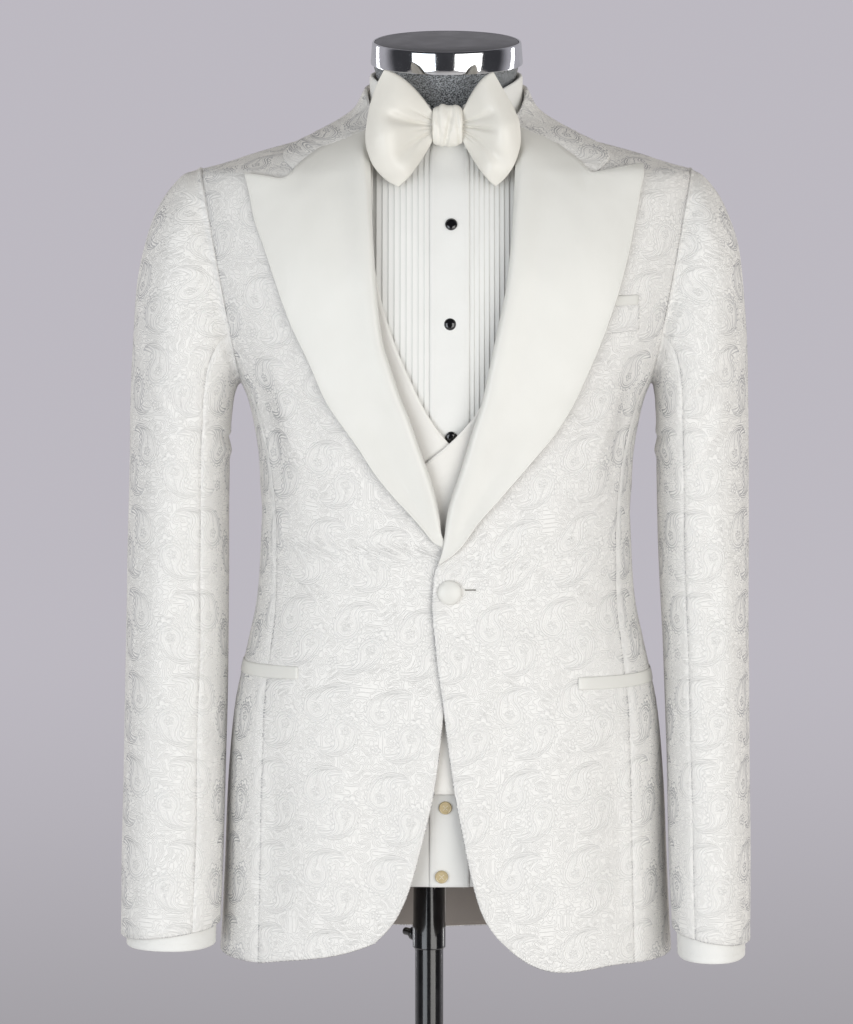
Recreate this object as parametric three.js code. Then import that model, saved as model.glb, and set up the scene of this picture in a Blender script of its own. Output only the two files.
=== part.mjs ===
// A one-button tuxedo on a limbless dress form: jacquard jacket with satin peak lapels, double-breasted
// style waistcoat, pleated dress shirt with studs, and a butterfly bow tie.
// Millimetres, +Z up, the front faces -Y, the wearer's left is +X, the floor is z = 0.
import * as THREE from 'three';

// Driving dimensions
const seamGap = 0.3;
const wall = {
  jacket: 2, lapel: 1.8, collar: 1.8, waistcoat: 1.4, shirt: 1.2, placket: 1, bow: 1.4, welt: 1.2,
};
const layer = {
  shirt: 0.6, placket: 2.1, waistcoat: 5.3, lapel: 2.7, overlap: 3, formEase: 7.5, neckEase: 0.2,
};
const pole = { x: -14.5, radius: 12.4, top: 1070 };
const socket = { bottom: 827, top: 1000, bore: 12.8, outer: 13.7, flare: 14.4 };
const base = { radius: 185, thickness: 8, hubRadius: 27, hubHeight: 36 };
const clamp = { z: 836, turn: 215, shank: 4, collar: 6.2, stem: 3.4, length: 22 };
const form = {
  bottom: 903, top: 1589.5, tilt: THREE.MathUtils.degToRad(7), bore: 14.6, boreTop: 1140, leanFrom: 1560,
};
const cap = { side: 65, depth: 61.5, centreY: -2.5, rim: 19.5, lip: 3, disc: 61.5 };
const bow = { y: -67.6, lobeY: -85.5, tipY: -76, pinch: 12, half: 1.2, bulge: 7, knotZ: 1543.5 };
const bowKnotSize = {
  centreX: 1, halfWidth: 12.2, taper: 0.16, count: 14,
  outer: { high: 17.3, deep: 11 }, inner: { high: 13.7, deep: 7.6 },
};
const bowBand = { out: 7.4, half: 7, frontZ: 1543.5, sideZ: 1562, backZ: 1567 };
const armholePlane = { topX: 209.5, topZ: 1505, slope: 0.183 };
const shirtArmholePlane = { topX: 184, topZ: 1500, slope: 0.105 };
const jacketButton = { x: 2.6, z: 1153, radius: 10.4, depth: 6 };
const stud = { radius: 5.15, depth: 2.3 };
const studs = [{ x: 4, z: 1461, seat: 0.2 }, { x: 3, z: 1379, seat: -0.8 }, { x: 4, z: 1284, seat: 0.3 }];
const shirtButton = { radius: 5.7, depth: 2.4 };
const shirtButtons = [{ x: -0.8, z: 968, seat: -0.3 }, { x: -4, z: 908, seat: 0.2 }];
const plackets = { left: 19, right: -13.8, seam: 2.6 };
const pleat = { count: 9, depth: 0.9, right: -59, left: 57, fold: 0.6 };
const neckline = 1547;
const seamMeet = 1352;
const seamLevels = [829, 880, 940, 1000, 1060, 1110, 1155, 1190, 1225, 1265, 1308, seamMeet];
const clothLevels = [899, 985, 1215, 1285, 1340, 1400, 1450, 1484, 1502, 1515, 1531];

// Horizontal sections of the body of the jacket and of the form, with superellipse corners
const sectionColumns = ['z', 'side', 'front', 'back', 'power'];
const jacketSections = table(sectionColumns, [
  [812, 197, 119, 126, 2.4],
  [900, 191, 122, 126, 2.4],
  [985, 187, 123, 123, 2.4],
  [1040, 182.5, 122, 118, 2.4],
  [1071, 176.5, 120, 115, 2.4],
  [1100, 170, 118, 111, 2.4],
  [1131, 163.5, 116, 106, 2.4],
  [1155, 161, 115, 103, 2.4],
  [1190, 159.3, 114, 101, 2.4],
  [1215, 158.6, 114, 100, 2.4],
  [1245, 159.5, 116, 101, 2.4],
  [1270, 162, 118.5, 104, 2.4],
  [1290, 165.5, 121, 107, 2.4],
  [1308, 170, 122.5, 110, 2.4],
  [1330, 180, 124, 113, 2.38],
  [1370, 197, 122.5, 118, 2.35],
  [1410, 209, 118, 120, 2.35],
  [1450, 215, 110, 116, 2.35],
  [1480, 216, 100, 109, 2.35],
  [1503, 210, 88.5, 101, 2.3],
  [1508.5, 190, 85, 98, 2.3],
  [1516, 168, 80, 94, 2.3],
  [1524, 140, 75, 89, 2.3],
  [1529.5, 120, 72, 85, 2.3],
  [1535.5, 100, 69, 80, 2.3],
  [1541.5, 80, 66, 75, 2.3],
  [1547, 66, 64, 71, 2.3],
]);
const formSections = table(sectionColumns, [
  [880, 156, 98, 104, 2.3],
  [903, 158, 100, 106, 2.3],
  [985, 163, 106, 108, 2.3],
  [1040, 161, 106, 105, 2.3],
  [1100, 153, 102, 98, 2.3],
  [1155, 146, 100, 91, 2.3],
  [1215, 144, 99, 88, 2.3],
  [1270, 148, 104, 92, 2.3],
  [1330, 163, 110, 101, 2.3],
  [1370, 178, 109, 106, 2.3],
  [1410, 188, 104, 108, 2.3],
  [1450, 193, 95, 103, 2.3],
  [1480, 190, 84, 95, 2.25],
  [1496, 179, 75, 88, 2.2],
  [1504, 160, 68, 83, 2.2],
  [1512, 130, 62, 78, 2.2],
  [1520, 103, 57, 73, 2.2],
  [1528, 82, 53, 68, 2.2],
  [1540, 60, 50, 58, 2.1],
  [1548, 57, 48.5, 56, 2],
  [1558, 55, 48, 54, 2],
  [1572, 56.5, 50, 54.5, 2],
  [1583, 60, 56, 56, 2],
  [1592, 62.5, 61, 57, 2],
  [1604, 63, 62, 57.5, 2],
]);

// Front edges below the break, then the roll lines, as places on the front of the jacket
const edgeColumns = ['z', 'x'];
const leftEdge = table(edgeColumns, [
  [846, 55], [859, 42.2], [878, 31], [903, 23.4], [948, 14.1], [986, 7.1], [1023, 2.1], [1054, -1.6],
  [1085, -6], [1114, -9.2], [1140, -11.3], [1164, -10], [1187, -3.4], [1220, 2.7], [1263, 16.4],
  [1289, 24], [1318, 33], [1348, 39.5], [1379, 46], [1408, 52], [1455, 57.3], [1511, 60.8], [1538, 62.5],
]);
const rightEdge = table(edgeColumns, [
  [853, -61], [862, -52], [876, -42], [899, -32.2], [939, -21.1], [980, -11.8], [1004, -8.1], [1054, -2],
  [1075, 5], [1110, 12], [1150, 15], [1178, 11], [1192, 1], [1203, -4.6], [1213, -6], [1241, -13],
  [1270, -23], [1299, -33], [1323, -42.4], [1343, -49], [1367, -56], [1408, -61], [1450, -64],
  [1503, -66.5], [1534, -68],
]);

// Outer edges of the peak lapels, and the gorge with the top edge of the peak
const leftLapelEdge = table(edgeColumns, [
  [1190, 0.5], [1196.5, 12.3], [1212, 25], [1237, 47.3], [1260, 66.8], [1297, 95.6], [1338.5, 116.6],
  [1382, 134.3], [1423.5, 148], [1463, 157.3], [1506, 164.8],
]);
const rightLapelEdge = table(edgeColumns, [
  [1200, -14.5], [1208, -21], [1220, -31], [1236, -44.8], [1254, -58.8], [1276.4, -72.8], [1313.5, -98],
  [1349, -114], [1379, -128.5], [1413, -141.5], [1441, -151.4], [1465.5, -160.3], [1484, -164.2],
  [1501, -167.8],
]);
const gorgeColumns = ['x', 'z'];
const leftGorge = table(gorgeColumns, [
  [62.5, 1538], [71, 1534.5], [83.4, 1528.7], [104.3, 1513.3], [122, 1503.5], [142.5, 1505.5], [164.8, 1506],
]);
const rightGorge = table(gorgeColumns, [
  [-68, 1534], [-76, 1531.5], [-85.7, 1527.9], [-106.8, 1517.3], [-137.9, 1498.4], [-153.2, 1499.7],
  [-167.8, 1501],
]);
const gorgeShare = [0, 0.08, 0.2, 0.4, 0.62, 0.8, 1];
const notch = 4;

// The collar of the jacket at the gorge, the side and the back of the neck
const collarColumns = ['angle', 'seamOut', 'seamZ', 'foldOut', 'foldZ',
  'upperZ', 'upperLift', 'midZ', 'midLift', 'edgeZ', 'edgeLift'];
const collarKeys = table(collarColumns, [
  [56, 1.5, 1545.5, 4, 1549, 1536.5, 6, 1522, 3.4, 1501, 3.2],
  [90, 1.2, 1549, 4, 1571, 1542.3, 14, 1538, 8.5, 1531.6, 3.4],
  [180, 1, 1549.5, 3.2, 1578.5, 1541, 22, 1536.5, 12, 1525.5, 4.4],
]);

// Seams between the panels, in degrees round the body from the centre front
const seamColumns = ['z', 'front', 'back'];
const sideSeams = table(seamColumns, [
  [812, 64, 114], [1000, 64, 114], [1100, 66, 113], [1215, 69, 111], [1300, 74, 106], [1352, 77.5, 103.2],
]);

// Sleeve rings from the armhole to the hem: outer and inner rail, middle depth and half depth
const sleeveColumns = ['outerX', 'outerZ', 'innerX', 'innerZ', 'middleY', 'halfDepth'];
const rightSleeve = table(sleeveColumns, [
  [209.8, 1503.5, 176.4, 1321.5, 0, 57],
  [222.5, 1500, 178.4, 1318.5, 1, 62],
  [237, 1486, 180.4, 1314, 2, 66],
  [250, 1464, 182, 1308, 3, 69.5],
  [259, 1437, 183.2, 1301, 4, 71.5],
  [266, 1399, 184.6, 1290, 6, 72.5],
  [269, 1356, 185.8, 1275, 8, 71],
  [271.5, 1304, 186.6, 1252, 11, 68],
  [273.5, 1230, 187.2, 1205, 14, 64.5],
  [275.5, 1160, 187.6, 1150, 8, 62],
  [276.5, 1090, 188, 1085, -3, 59.5],
  [278, 1010, 189.6, 1010, -17, 57],
  [279.5, 930, 191, 935, -31, 54],
  [280, 849, 194, 860, -45, 50],
]);
const leftSleeve = table(sleeveColumns, [
  [209.8, 1503.5, 176.4, 1321.5, 0, 57],
  [218.5, 1499.5, 177.8, 1318.5, 1, 62.5],
  [231, 1486, 178.8, 1314, 2, 67],
  [242.5, 1464, 179.6, 1308, 3, 70.5],
  [251, 1437, 180.2, 1301, 4, 73],
  [255.5, 1399, 180.8, 1290, 5, 74.5],
  [258.3, 1360, 181, 1275, 7, 74],
  [259.8, 1304, 181.4, 1252, 9, 71.5],
  [261, 1230, 182.6, 1205, 10, 68.5],
  [261.4, 1160, 184.4, 1150, 3, 66],
  [261.2, 1090, 187.4, 1085, -12, 63],
  [261.4, 1010, 189.6, 1010, -28, 60],
  [262, 930, 191, 935, -44, 56.5],
  [261, 847, 194, 857, -60, 52],
]);
const sleeveInset = { shirt: 8.5, cuff: 4.6, wrist: 6.7 };
const cuff = { top: 0.93, rightZ: 834, leftZ: 832 };
const armholeEase = 1.1;
const underSleeve = { from: 118, to: 242 };

// Shirt collar by degrees from the centre front: foot of the stand, fold and edge of the leaf
const shirtCollarKeys = table(['angle', 'standOut', 'standZ', 'foldOut', 'foldZ', 'leafOut', 'leafZ'], [
  [14, 3.6, 1541, 7, 1560, 12.4, 1524],
  [40, 3.6, 1543, 8, 1568, 13.8, 1534],
  [60, 3.2, 1546, 8.3, 1576, 9.6, 1551],
  [90, 3, 1547, 8.5, 1583.5, 9.2, 1551],
  [180, 3, 1548, 8, 1590, 9.5, 1553],
]);

// Outlines of the bow wings, from the lower point round the outside to the upper point
const rimColumns = ['rise', 'x', 'z'];
const rightRim = table(rimColumns, [
  [0, -41.3, 1493.2], [0.14, -50.5, 1498], [0.28, -64, 1514], [0.42, -69, 1533.5], [0.55, -67.5, 1550],
  [0.7, -64, 1566], [0.85, -59, 1580], [1, -53.1, 1591.3],
]);
const leftRim = table(rimColumns, [
  [0, 42.2, 1493.6], [0.14, 50.5, 1501], [0.28, 59, 1515], [0.42, 63.1, 1532], [0.55, 62.4, 1546],
  [0.7, 57.5, 1559], [0.85, 49.5, 1573], [1, 40.1, 1589.3],
]);

// Waistcoat edges, as places on its front
const waistcoatHem = 981;
const waistcoatRightEdge = table(edgeColumns, [
  [981, 46], [1200, 46], [1240, 40], [1262, 20], [1278, 3], [1300, -14], [1327, -28], [1367, -45],
  [1413, -58], [1450, -62.5], [1500, -62], [1521, -60],
]);
const waistcoatLeftEdge = table(edgeColumns, [
  [981, -52], [1205, -52], [1240, -44], [1258.6, -22], [1278, 0.5], [1288.5, 11], [1306, 25.5], [1330, 37],
  [1367, 47], [1413, 57], [1450, 61], [1500, 61], [1521, 59],
]);
const waistcoatSide = table(['z', 'front', 'back'], [
  [975, 90, 90], [1285, 90, 90], [1340, 80, 99], [1400, 73, 106.5], [1450, 72, 107.5], [1484, 78, 102],
  [1502, 86, 94], [1521, 89.6, 90.4],
]);

const shirtSide = table(['z', 'front', 'back'], [
  [899, 90, 90], [1285, 90, 90], [1340, 83.5, 97], [1400, 75.5, 105.3], [1450, 74.5, 106.3],
  [1484, 79, 101.5], [1502, 87, 93], [1515, 90, 90], [1533, 90, 90],
]);

// Pockets: the hip jets from their inner end round to the side, and the breast welt with its trim
const hipPocketEnd = { degrees: 93, lift: 0.9 };
const hipPocketPlaces = {
  right: [{ x: -126, top: 1086, bottom: 1076 }, { top: 1081, bottom: 1071 }],
  left: [{ x: 112, top: 1078, bottom: 1068 }, { top: 1074, bottom: 1064 }],
};
const breastPocket = {
  lift: 0.35,
  weltInner: { x: 78.5, top: 1392.3, bottom: 1367 },
  weltOuter: { x: 162, top: 1393.6, bottom: 1372 },
  trimInner: { x: 78, top: 1400, bottom: 1392.7 },
  trimOuter: { x: 161.4, top: 1402, bottom: 1394 },
};

// Finishes
const finish = {
  jacquard: { color: '#e9e8e4', roughness: 0.62, metalness: 0 },
  satin: { color: '#f1f0ea', roughness: 0.3, metalness: 0 },
  waistcoat: { color: '#efece2', roughness: 0.7, metalness: 0 },
  cotton: { color: '#f0f0ec', roughness: 0.8, metalness: 0 },
  stone: { color: '#0b0b0d', roughness: 0.08, metalness: 0 },
  pearl: { color: '#ece2cc', roughness: 0.3, metalness: 0 },
  formCloth: { color: '#5d5f64', roughness: 0.85, metalness: 0 },
  chrome: { color: '#d6d7da', roughness: 0.08, metalness: 1 },
  steel: { color: '#85868a', roughness: 0.35, metalness: 0.8 },
  black: { color: '#111113', roughness: 0.25, metalness: 0.2 },
};

function table(columns, rows) {
  return rows.map((row) => Object.fromEntries(columns.map((column, i) => [column, row[i]])));
}

// A smooth curve through the rows of a table that never swings past them
function valueAt(rows, key, column, at) {
  const last = rows.length - 1;
  const rising = rows[last][key] > rows[0][key];
  const order = rising ? rows : [...rows].reverse();
  const clamped = THREE.MathUtils.clamp(at, order[0][key], order[last][key]);
  let i = 0;
  while (i < last - 1 && clamped > order[i + 1][key]) i += 1;
  const span = order[i + 1][key] - order[i][key];
  const t = (clamped - order[i][key]) / span;
  const from = order[i][column];
  const to = order[i + 1][column];
  const startSlope = slopeAt(order, key, column, i);
  const endSlope = slopeAt(order, key, column, i + 1);
  return (2 * t ** 3 - 3 * t * t + 1) * from + (t ** 3 - 2 * t * t + t) * span * startSlope
    + (-2 * t ** 3 + 3 * t * t) * to + (t ** 3 - t * t) * span * endSlope;
}

function slopeAt(rows, key, column, i) {
  const rise = (a, b) => (rows[b][column] - rows[a][column]) / (rows[b][key] - rows[a][key]);
  if (i === 0) return rise(0, 1);
  if (i === rows.length - 1) return rise(i - 1, i);
  const before = rise(i - 1, i);
  const after = rise(i, i + 1);
  return before * after <= 0 ? 0 : (2 * before * after) / (before + after);
}

const mix = THREE.MathUtils.lerp;
const step = (from, to, x) => THREE.MathUtils.smoothstep(x, from, to);
const bump = (distance, spread) => Math.exp(-(distance * distance) / (2 * spread * spread));

// Body surfaces, by height and by degrees round from the centre front towards the wearer's left
function sectionAt(sections, z) {
  const columns = sectionColumns.slice(1);
  return Object.fromEntries(columns.map((column) => [column, valueAt(sections, 'z', column, z)]));
}

function radiusAt(sections, degrees, z) {
  const { side, front, back, power } = sectionAt(sections, z);
  const angle = THREE.MathUtils.degToRad(degrees);
  const depth = Math.cos(angle) > 0 ? front : back;
  const across = Math.abs(Math.sin(angle)) / side;
  const along = Math.abs(Math.cos(angle)) / depth;
  return (across ** power + along ** power) ** (-1 / power);
}

function onSurface(sections, degrees, z) {
  const angle = THREE.MathUtils.degToRad(degrees);
  const radius = radiusAt(sections, degrees, z);
  return new THREE.Vector3(radius * Math.sin(angle), -radius * Math.cos(angle), z);
}

function surfaceNormal(sections, degrees, z) {
  const round = onSurface(sections, degrees + 0.5, z).sub(onSurface(sections, degrees - 0.5, z));
  const low = Math.max(z - 1, sections[0].z);
  const high = Math.min(z + 1, sections[sections.length - 1].z);
  const up = onSurface(sections, degrees, high).sub(onSurface(sections, degrees, low));
  return round.cross(up).normalize();
}

function offSurface(sections, degrees, z, distance) {
  return onSurface(sections, degrees, z).addScaledVector(surfaceNormal(sections, degrees, z), distance);
}

// The angle of the front point at a given place across the body
function angleAcross(sections, x, z) {
  const { side, front, power } = sectionAt(sections, z);
  const share = Math.min(Math.abs(x) / side, 1);
  const depth = front * (1 - share ** power) ** (1 / power);
  return THREE.MathUtils.radToDeg(Math.atan2(x, depth));
}

// The half of an armhole that lies in a slanted plane, as an angle at a height
function planeX(plane, z) {
  return plane.topX - (plane.topZ - z) * plane.slope;
}

function planeDepth(sections, plane, z, isFront) {
  const { side, front, back, power } = sectionAt(sections, z);
  const share = Math.min(planeX(plane, z) / side, 1);
  return (isFront ? front : back) * (1 - share ** power) ** (1 / power);
}

function planeAngle(sections, plane, z, isFront) {
  const depth = planeDepth(sections, plane, z, isFront);
  const angle = THREE.MathUtils.radToDeg(Math.atan2(planeX(plane, z), depth));
  return isFront ? angle : 180 - angle;
}

// The height where the slanted plane leaves the body, above or below its middle
function planeEnd(sections, plane, low, high, isTop) {
  let inside = isTop ? low : high;
  let outside = isTop ? high : low;
  for (let i = 0; i < 40; i += 1) {
    const middle = (inside + outside) / 2;
    if (planeX(plane, middle) < sectionAt(sections, middle).side) inside = middle;
    else outside = middle;
  }
  return inside;
}

const armholeTop = planeEnd(jacketSections, armholePlane, 1450, 1507, true);
const armholeBottom = planeEnd(jacketSections, armholePlane, 1300, 1400, false);
const shirtArmholeTop = planeEnd(formSections, shirtArmholePlane, 1440, 1499, true);
const shirtArmholeBottom = planeEnd(formSections, shirtArmholePlane, 1290, 1400, false);

function armholeHeight(degrees) {
  const isFront = degrees < 90;
  let low = armholeBottom;
  let high = seamMeet + 20;
  for (let i = 0; i < 40; i += 1) {
    const middle = (low + high) / 2;
    const edge = planeAngle(jacketSections, armholePlane, middle, isFront);
    const covered = isFront ? degrees > edge : degrees < edge;
    if (covered) high = middle;
    else low = middle;
  }
  return low;
}

// A wall between two grids of points; a closed wall joins its last column to its first
function wallMesh(name, outer, inner, look, closed = false) {
  const rows = outer.length;
  const columns = outer[0].length;
  const points = [...outer.flat(), ...inner.flat()];
  const faces = [];
  const at = (side, row, column) => side * rows * columns + row * columns + (column % columns);
  const quad = (a, b, c, d) => faces.push(a, b, c, a, c, d);
  const spans = closed ? columns : columns - 1;
  for (let row = 0; row < rows - 1; row += 1) {
    for (let column = 0; column < spans; column += 1) {
      quad(at(0, row, column), at(0, row, column + 1), at(0, row + 1, column + 1), at(0, row + 1, column));
      quad(at(1, row, column), at(1, row + 1, column), at(1, row + 1, column + 1), at(1, row, column + 1));
    }
  }
  for (let column = 0; column < spans; column += 1) {
    const top = rows - 1;
    quad(at(0, 0, column), at(1, 0, column), at(1, 0, column + 1), at(0, 0, column + 1));
    quad(at(0, top, column), at(0, top, column + 1), at(1, top, column + 1), at(1, top, column));
  }
  if (!closed) {
    const end = columns - 1;
    for (let row = 0; row < rows - 1; row += 1) {
      quad(at(0, row, 0), at(0, row + 1, 0), at(1, row + 1, 0), at(1, row, 0));
      quad(at(0, row, end), at(1, row, end), at(1, row + 1, end), at(0, row + 1, end));
    }
  }
  return solidMesh(name, points, faces, look);
}

// A solid from a closed stack of rings, with flat fans over the first and last ring
function stackMesh(name, rings, look) {
  const count = rings[0].length;
  const points = rings.flat();
  const faces = [];
  for (let row = 0; row < rings.length - 1; row += 1) {
    for (let i = 0; i < count; i += 1) {
      const a = row * count + i;
      const b = row * count + ((i + 1) % count);
      faces.push(a, b, b + count, a, b + count, a + count);
    }
  }
  for (const [row, turn] of [[0, true], [rings.length - 1, false]]) {
    const centre = rings[row].reduce((sum, p) => sum.add(p), new THREE.Vector3()).divideScalar(count);
    const hub = points.push(centre) - 1;
    for (let i = 0; i < count; i += 1) {
      const a = row * count + i;
      const b = row * count + ((i + 1) % count);
      faces.push(...(turn ? [hub, b, a] : [hub, a, b]));
    }
  }
  return solidMesh(name, points, faces, look);
}

function solidMesh(name, points, faces, look) {
  let volume = 0;
  for (let i = 0; i < faces.length; i += 3) {
    const [a, b, c] = [points[faces[i]], points[faces[i + 1]], points[faces[i + 2]]];
    volume += a.dot(new THREE.Vector3().crossVectors(b, c));
  }
  const index = volume > 0 ? faces : faces.slice().reverse();
  const geometry = new THREE.BufferGeometry();
  const coordinates = points.flatMap((p) => [p.x, p.y, p.z]);
  geometry.setAttribute('position', new THREE.Float32BufferAttribute(coordinates, 3));
  geometry.setIndex(index);
  geometry.computeVertexNormals();
  const mesh = new THREE.Mesh(geometry, new THREE.MeshStandardMaterial(finish[look]));
  mesh.name = name;
  return mesh;
}

function turnedMesh(name, profile, look, segments = 24) {
  const points = profile.map(([radius, height]) => new THREE.Vector2(radius, height));
  const geometry = new THREE.LatheGeometry(points, segments);
  geometry.rotateX(Math.PI / 2);
  const mesh = new THREE.Mesh(geometry, new THREE.MeshStandardMaterial(finish[look]));
  mesh.name = name;
  return mesh;
}

const range = (count) => Array.from({ length: count + 1 }, (_, i) => i / count);

// The left front laps over the right one, so it stands off the body near the centre
function jacketLift(side, x, z) {
  if (side < 0) return 0;
  return 2.7 * (1 - step(26, 70, x)) * step(1012, 1048, z) * (1 - step(1212, 1262, z));
}

function jacketPoint(side, degrees, z, distance) {
  const x = onSurface(jacketSections, degrees, z).x;
  return offSurface(jacketSections, degrees, z, distance + jacketLift(side, x, z));
}

const edgeOf = (side) => (side > 0 ? leftEdge : rightEdge);
const nameOf = (side) => (side > 0 ? 'left' : 'right');
const backHemDrop = 6;
const gapDegrees = THREE.MathUtils.radToDeg(seamGap / 2 / 160);

// Jacket fronts: from the rounded front edge and roll line to the side seam, armhole and shoulder
function jacketFront(side) {
  const heights = [...seamLevels, 1400, 1450, 1485, armholeTop, 1514, 1526, 1536, 1545];
  const hemDrop = side > 0 ? 13 : 4;
  const edge = edgeOf(side);
  const topEdge = edge[edge.length - 1].z;
  const rows = heights.map((z, row) => {
    const edgeZ = Math.min(Math.max(z, edge[0].z), topEdge);
    const start = angleAcross(jacketSections, valueAt(edge, 'z', 'x', edgeZ), edgeZ);
    const end = side * (frontSideAngle(z) - gapDegrees);
    const nearHem = 1 - step(0, 4, row);
    return range(8).map((share) => {
      const sag = hemDrop * (27 / 4) * share * (1 - share) ** 2 * nearHem;
      return { degrees: mix(start, end, share ** 0.9), z: mix(edgeZ, z, share) - sag };
    });
  });
  const outer = rows.map((row) => row.map((p) => jacketPoint(side, p.degrees, p.z, 0)));
  const inner = rows.map((row) => row.map((p) => jacketPoint(side, p.degrees, p.z, -wall.jacket)));
  return wallMesh(`jacket_front_${nameOf(side)}`, outer, inner, 'jacquard');
}

function frontSideAngle(z) {
  if (z <= seamMeet) return valueAt(sideSeams, 'z', 'front', z);
  if (z < armholeTop) return planeAngle(jacketSections, armholePlane, z, true);
  return 90;
}

function backSideAngle(z) {
  if (z <= seamMeet) return valueAt(sideSeams, 'z', 'back', z);
  if (z < armholeTop) return planeAngle(jacketSections, armholePlane, z, false);
  return 90;
}

function jacketSide(side) {
  const topFront = valueAt(sideSeams, 'z', 'front', seamMeet);
  const topBack = valueAt(sideSeams, 'z', 'back', seamMeet);
  const rows = seamLevels.map((height) => range(4).map((share) => {
    const drop = share === 0 || share === 1 ? 0 : seamMeet - armholeHeight(mix(topFront, topBack, share));
    const z = height - drop * step(seamLevels[0], seamMeet, height);
    const start = valueAt(sideSeams, 'z', 'front', z) + gapDegrees;
    const end = valueAt(sideSeams, 'z', 'back', z) - gapDegrees;
    return { degrees: side * mix(start, end, share), z };
  }));
  const outer = rows.map((row) => row.map((p) => jacketPoint(-1, p.degrees, p.z, 0)));
  const inner = rows.map((row) => row.map((p) => jacketPoint(-1, p.degrees, p.z, -wall.jacket)));
  return wallMesh(`jacket_side_${nameOf(side)}`, outer, inner, 'jacquard');
}

function jacketBack(side) {
  const heights = [...seamLevels, 1400, 1450, 1485, armholeTop, 1515, 1527, 1537, 1546.5];
  const rows = heights.map((z, row) => range(6).map((share) => {
    const level = row === 0 ? z - backHemDrop * share : z;
    const start = Math.max(backSideAngle(z), 90) + gapDegrees;
    return { degrees: side * mix(start, 180 - gapDegrees, share), z: level };
  }));
  const outer = rows.map((row) => row.map((p) => jacketPoint(-1, p.degrees, p.z, 0)));
  const inner = rows.map((row) => row.map((p) => jacketPoint(-1, p.degrees, p.z, -wall.jacket)));
  return wallMesh(`jacket_back_${nameOf(side)}`, outer, inner, 'jacquard');
}

// Peak lapels, laid back over the fronts from the roll line, with a soft roll along it
function lapelPlace(side, share, level) {
  const edge = edgeOf(side);
  const outerEdge = side > 0 ? leftLapelEdge : rightLapelEdge;
  const gorge = side > 0 ? leftGorge : rightGorge;
  const low = outerEdge[0].z;
  const tip = outerEdge[outerEdge.length - 1];
  const rollZ = mix(low, gorge[0].z, level);
  const tipZ = mix(low, tip.z, level);
  const overhang = side * 2.5 * step(0.02, 0.16, level);
  const rollX = valueAt(edge, 'z', 'x', rollZ) - overhang;
  const outX = valueAt(outerEdge, 'z', 'x', tipZ);
  const place = { x: mix(rollX, outX, share), z: mix(rollZ, tipZ, share) };
  const shares = gorgeShare.map((value, i) => ({ share: value, x: gorge[i].x, z: gorge[i].z - seamGap }));
  const pull = step(0.72, 1, level) ** 1.5;
  const topX = valueAt(shares, 'share', 'x', share) - (share === 0 ? side * 2.5 : 0);
  const topZ = valueAt(shares, 'share', 'z', share);
  const straight = { x: mix(gorge[0].x - side * 2.5, tip.x, share), z: mix(gorge[0].z, tip.z, share) };
  place.x += (topX - straight.x) * pull;
  place.z += (topZ - straight.z) * pull;
  return place;
}

function lapel(side) {
  const levels = [0, 0.05, 0.13, 0.23, 0.34, 0.45, 0.56, 0.67, 0.77, 0.86, 0.94, 1];
  const shares = [0, 0.04, ...gorgeShare.slice(1)];
  const grid = levels.map((level) => shares.map((share) => {
    const { x, z } = lapelPlace(side, share, level);
    const width = Math.abs(lapelPlace(side, 1, level).x - lapelPlace(side, 0, level).x);
    const roll = 3.2 * bump(share * width - 6, 9) * step(0, 0.12, level);
    const edgeCurl = share === 0 ? -1.6 * step(0, 0.12, level) : 0;
    const overCrest = 2.6 * step(1482, 1500, z) * step(135, 158, Math.abs(x));
    return { degrees: angleAcross(jacketSections, x, z), z, lift: layer.lapel + roll + edgeCurl + overCrest };
  }));
  const outer = grid.map((row) => row.map((p) => jacketPoint(side, p.degrees, p.z, p.lift + wall.lapel)));
  const inner = grid.map((row) => row.map((p) => jacketPoint(side, p.degrees, p.z, p.lift)));
  return wallMesh(`lapel_${nameOf(side)}`, outer, inner, 'satin');
}

// Jacket collar: a stand round the neck that turns over at a fold into a leaf on the shoulders
function collarProfile(degrees) {
  const key = (column) => valueAt(collarKeys, 'angle', column, degrees);
  const neck = radiusAt(jacketSections, degrees, neckline);
  const leaf = (name) => ({
    radius: radiusAt(jacketSections, degrees, key(`${name}Z`)),
    z: key(`${name}Z`) + key(`${name}Lift`),
  });
  const seam = { radius: neck + key('seamOut') - 1, z: key('seamZ') };
  const fold = { radius: neck + key('foldOut') - 1.2, z: key('foldZ') };
  const upper = leaf('upper');
  const standTop = { radius: mix(seam.radius, fold.radius, 0.45), z: mix(seam.z, fold.z, 0.8) };
  const turned = { radius: fold.radius + 1.7, z: fold.z - 2.4 };
  return [seam, { radius: mix(seam.radius, standTop.radius, 0.5), z: mix(seam.z, standTop.z, 0.5) },
    standTop, fold, turned, upper, leaf('mid'), leaf('edge')];
}

function gorgeAngle(side, station) {
  const gorge = side > 0 ? leftGorge : rightGorge;
  const inFold = station < 5;
  const place = inFold ? gorge[0] : gorge[[1, 3, notch][station - 5]];
  return Math.abs(angleAcross(jacketSections, place.x, place.z)) + (inFold ? 2 : 0.35);
}

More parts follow.
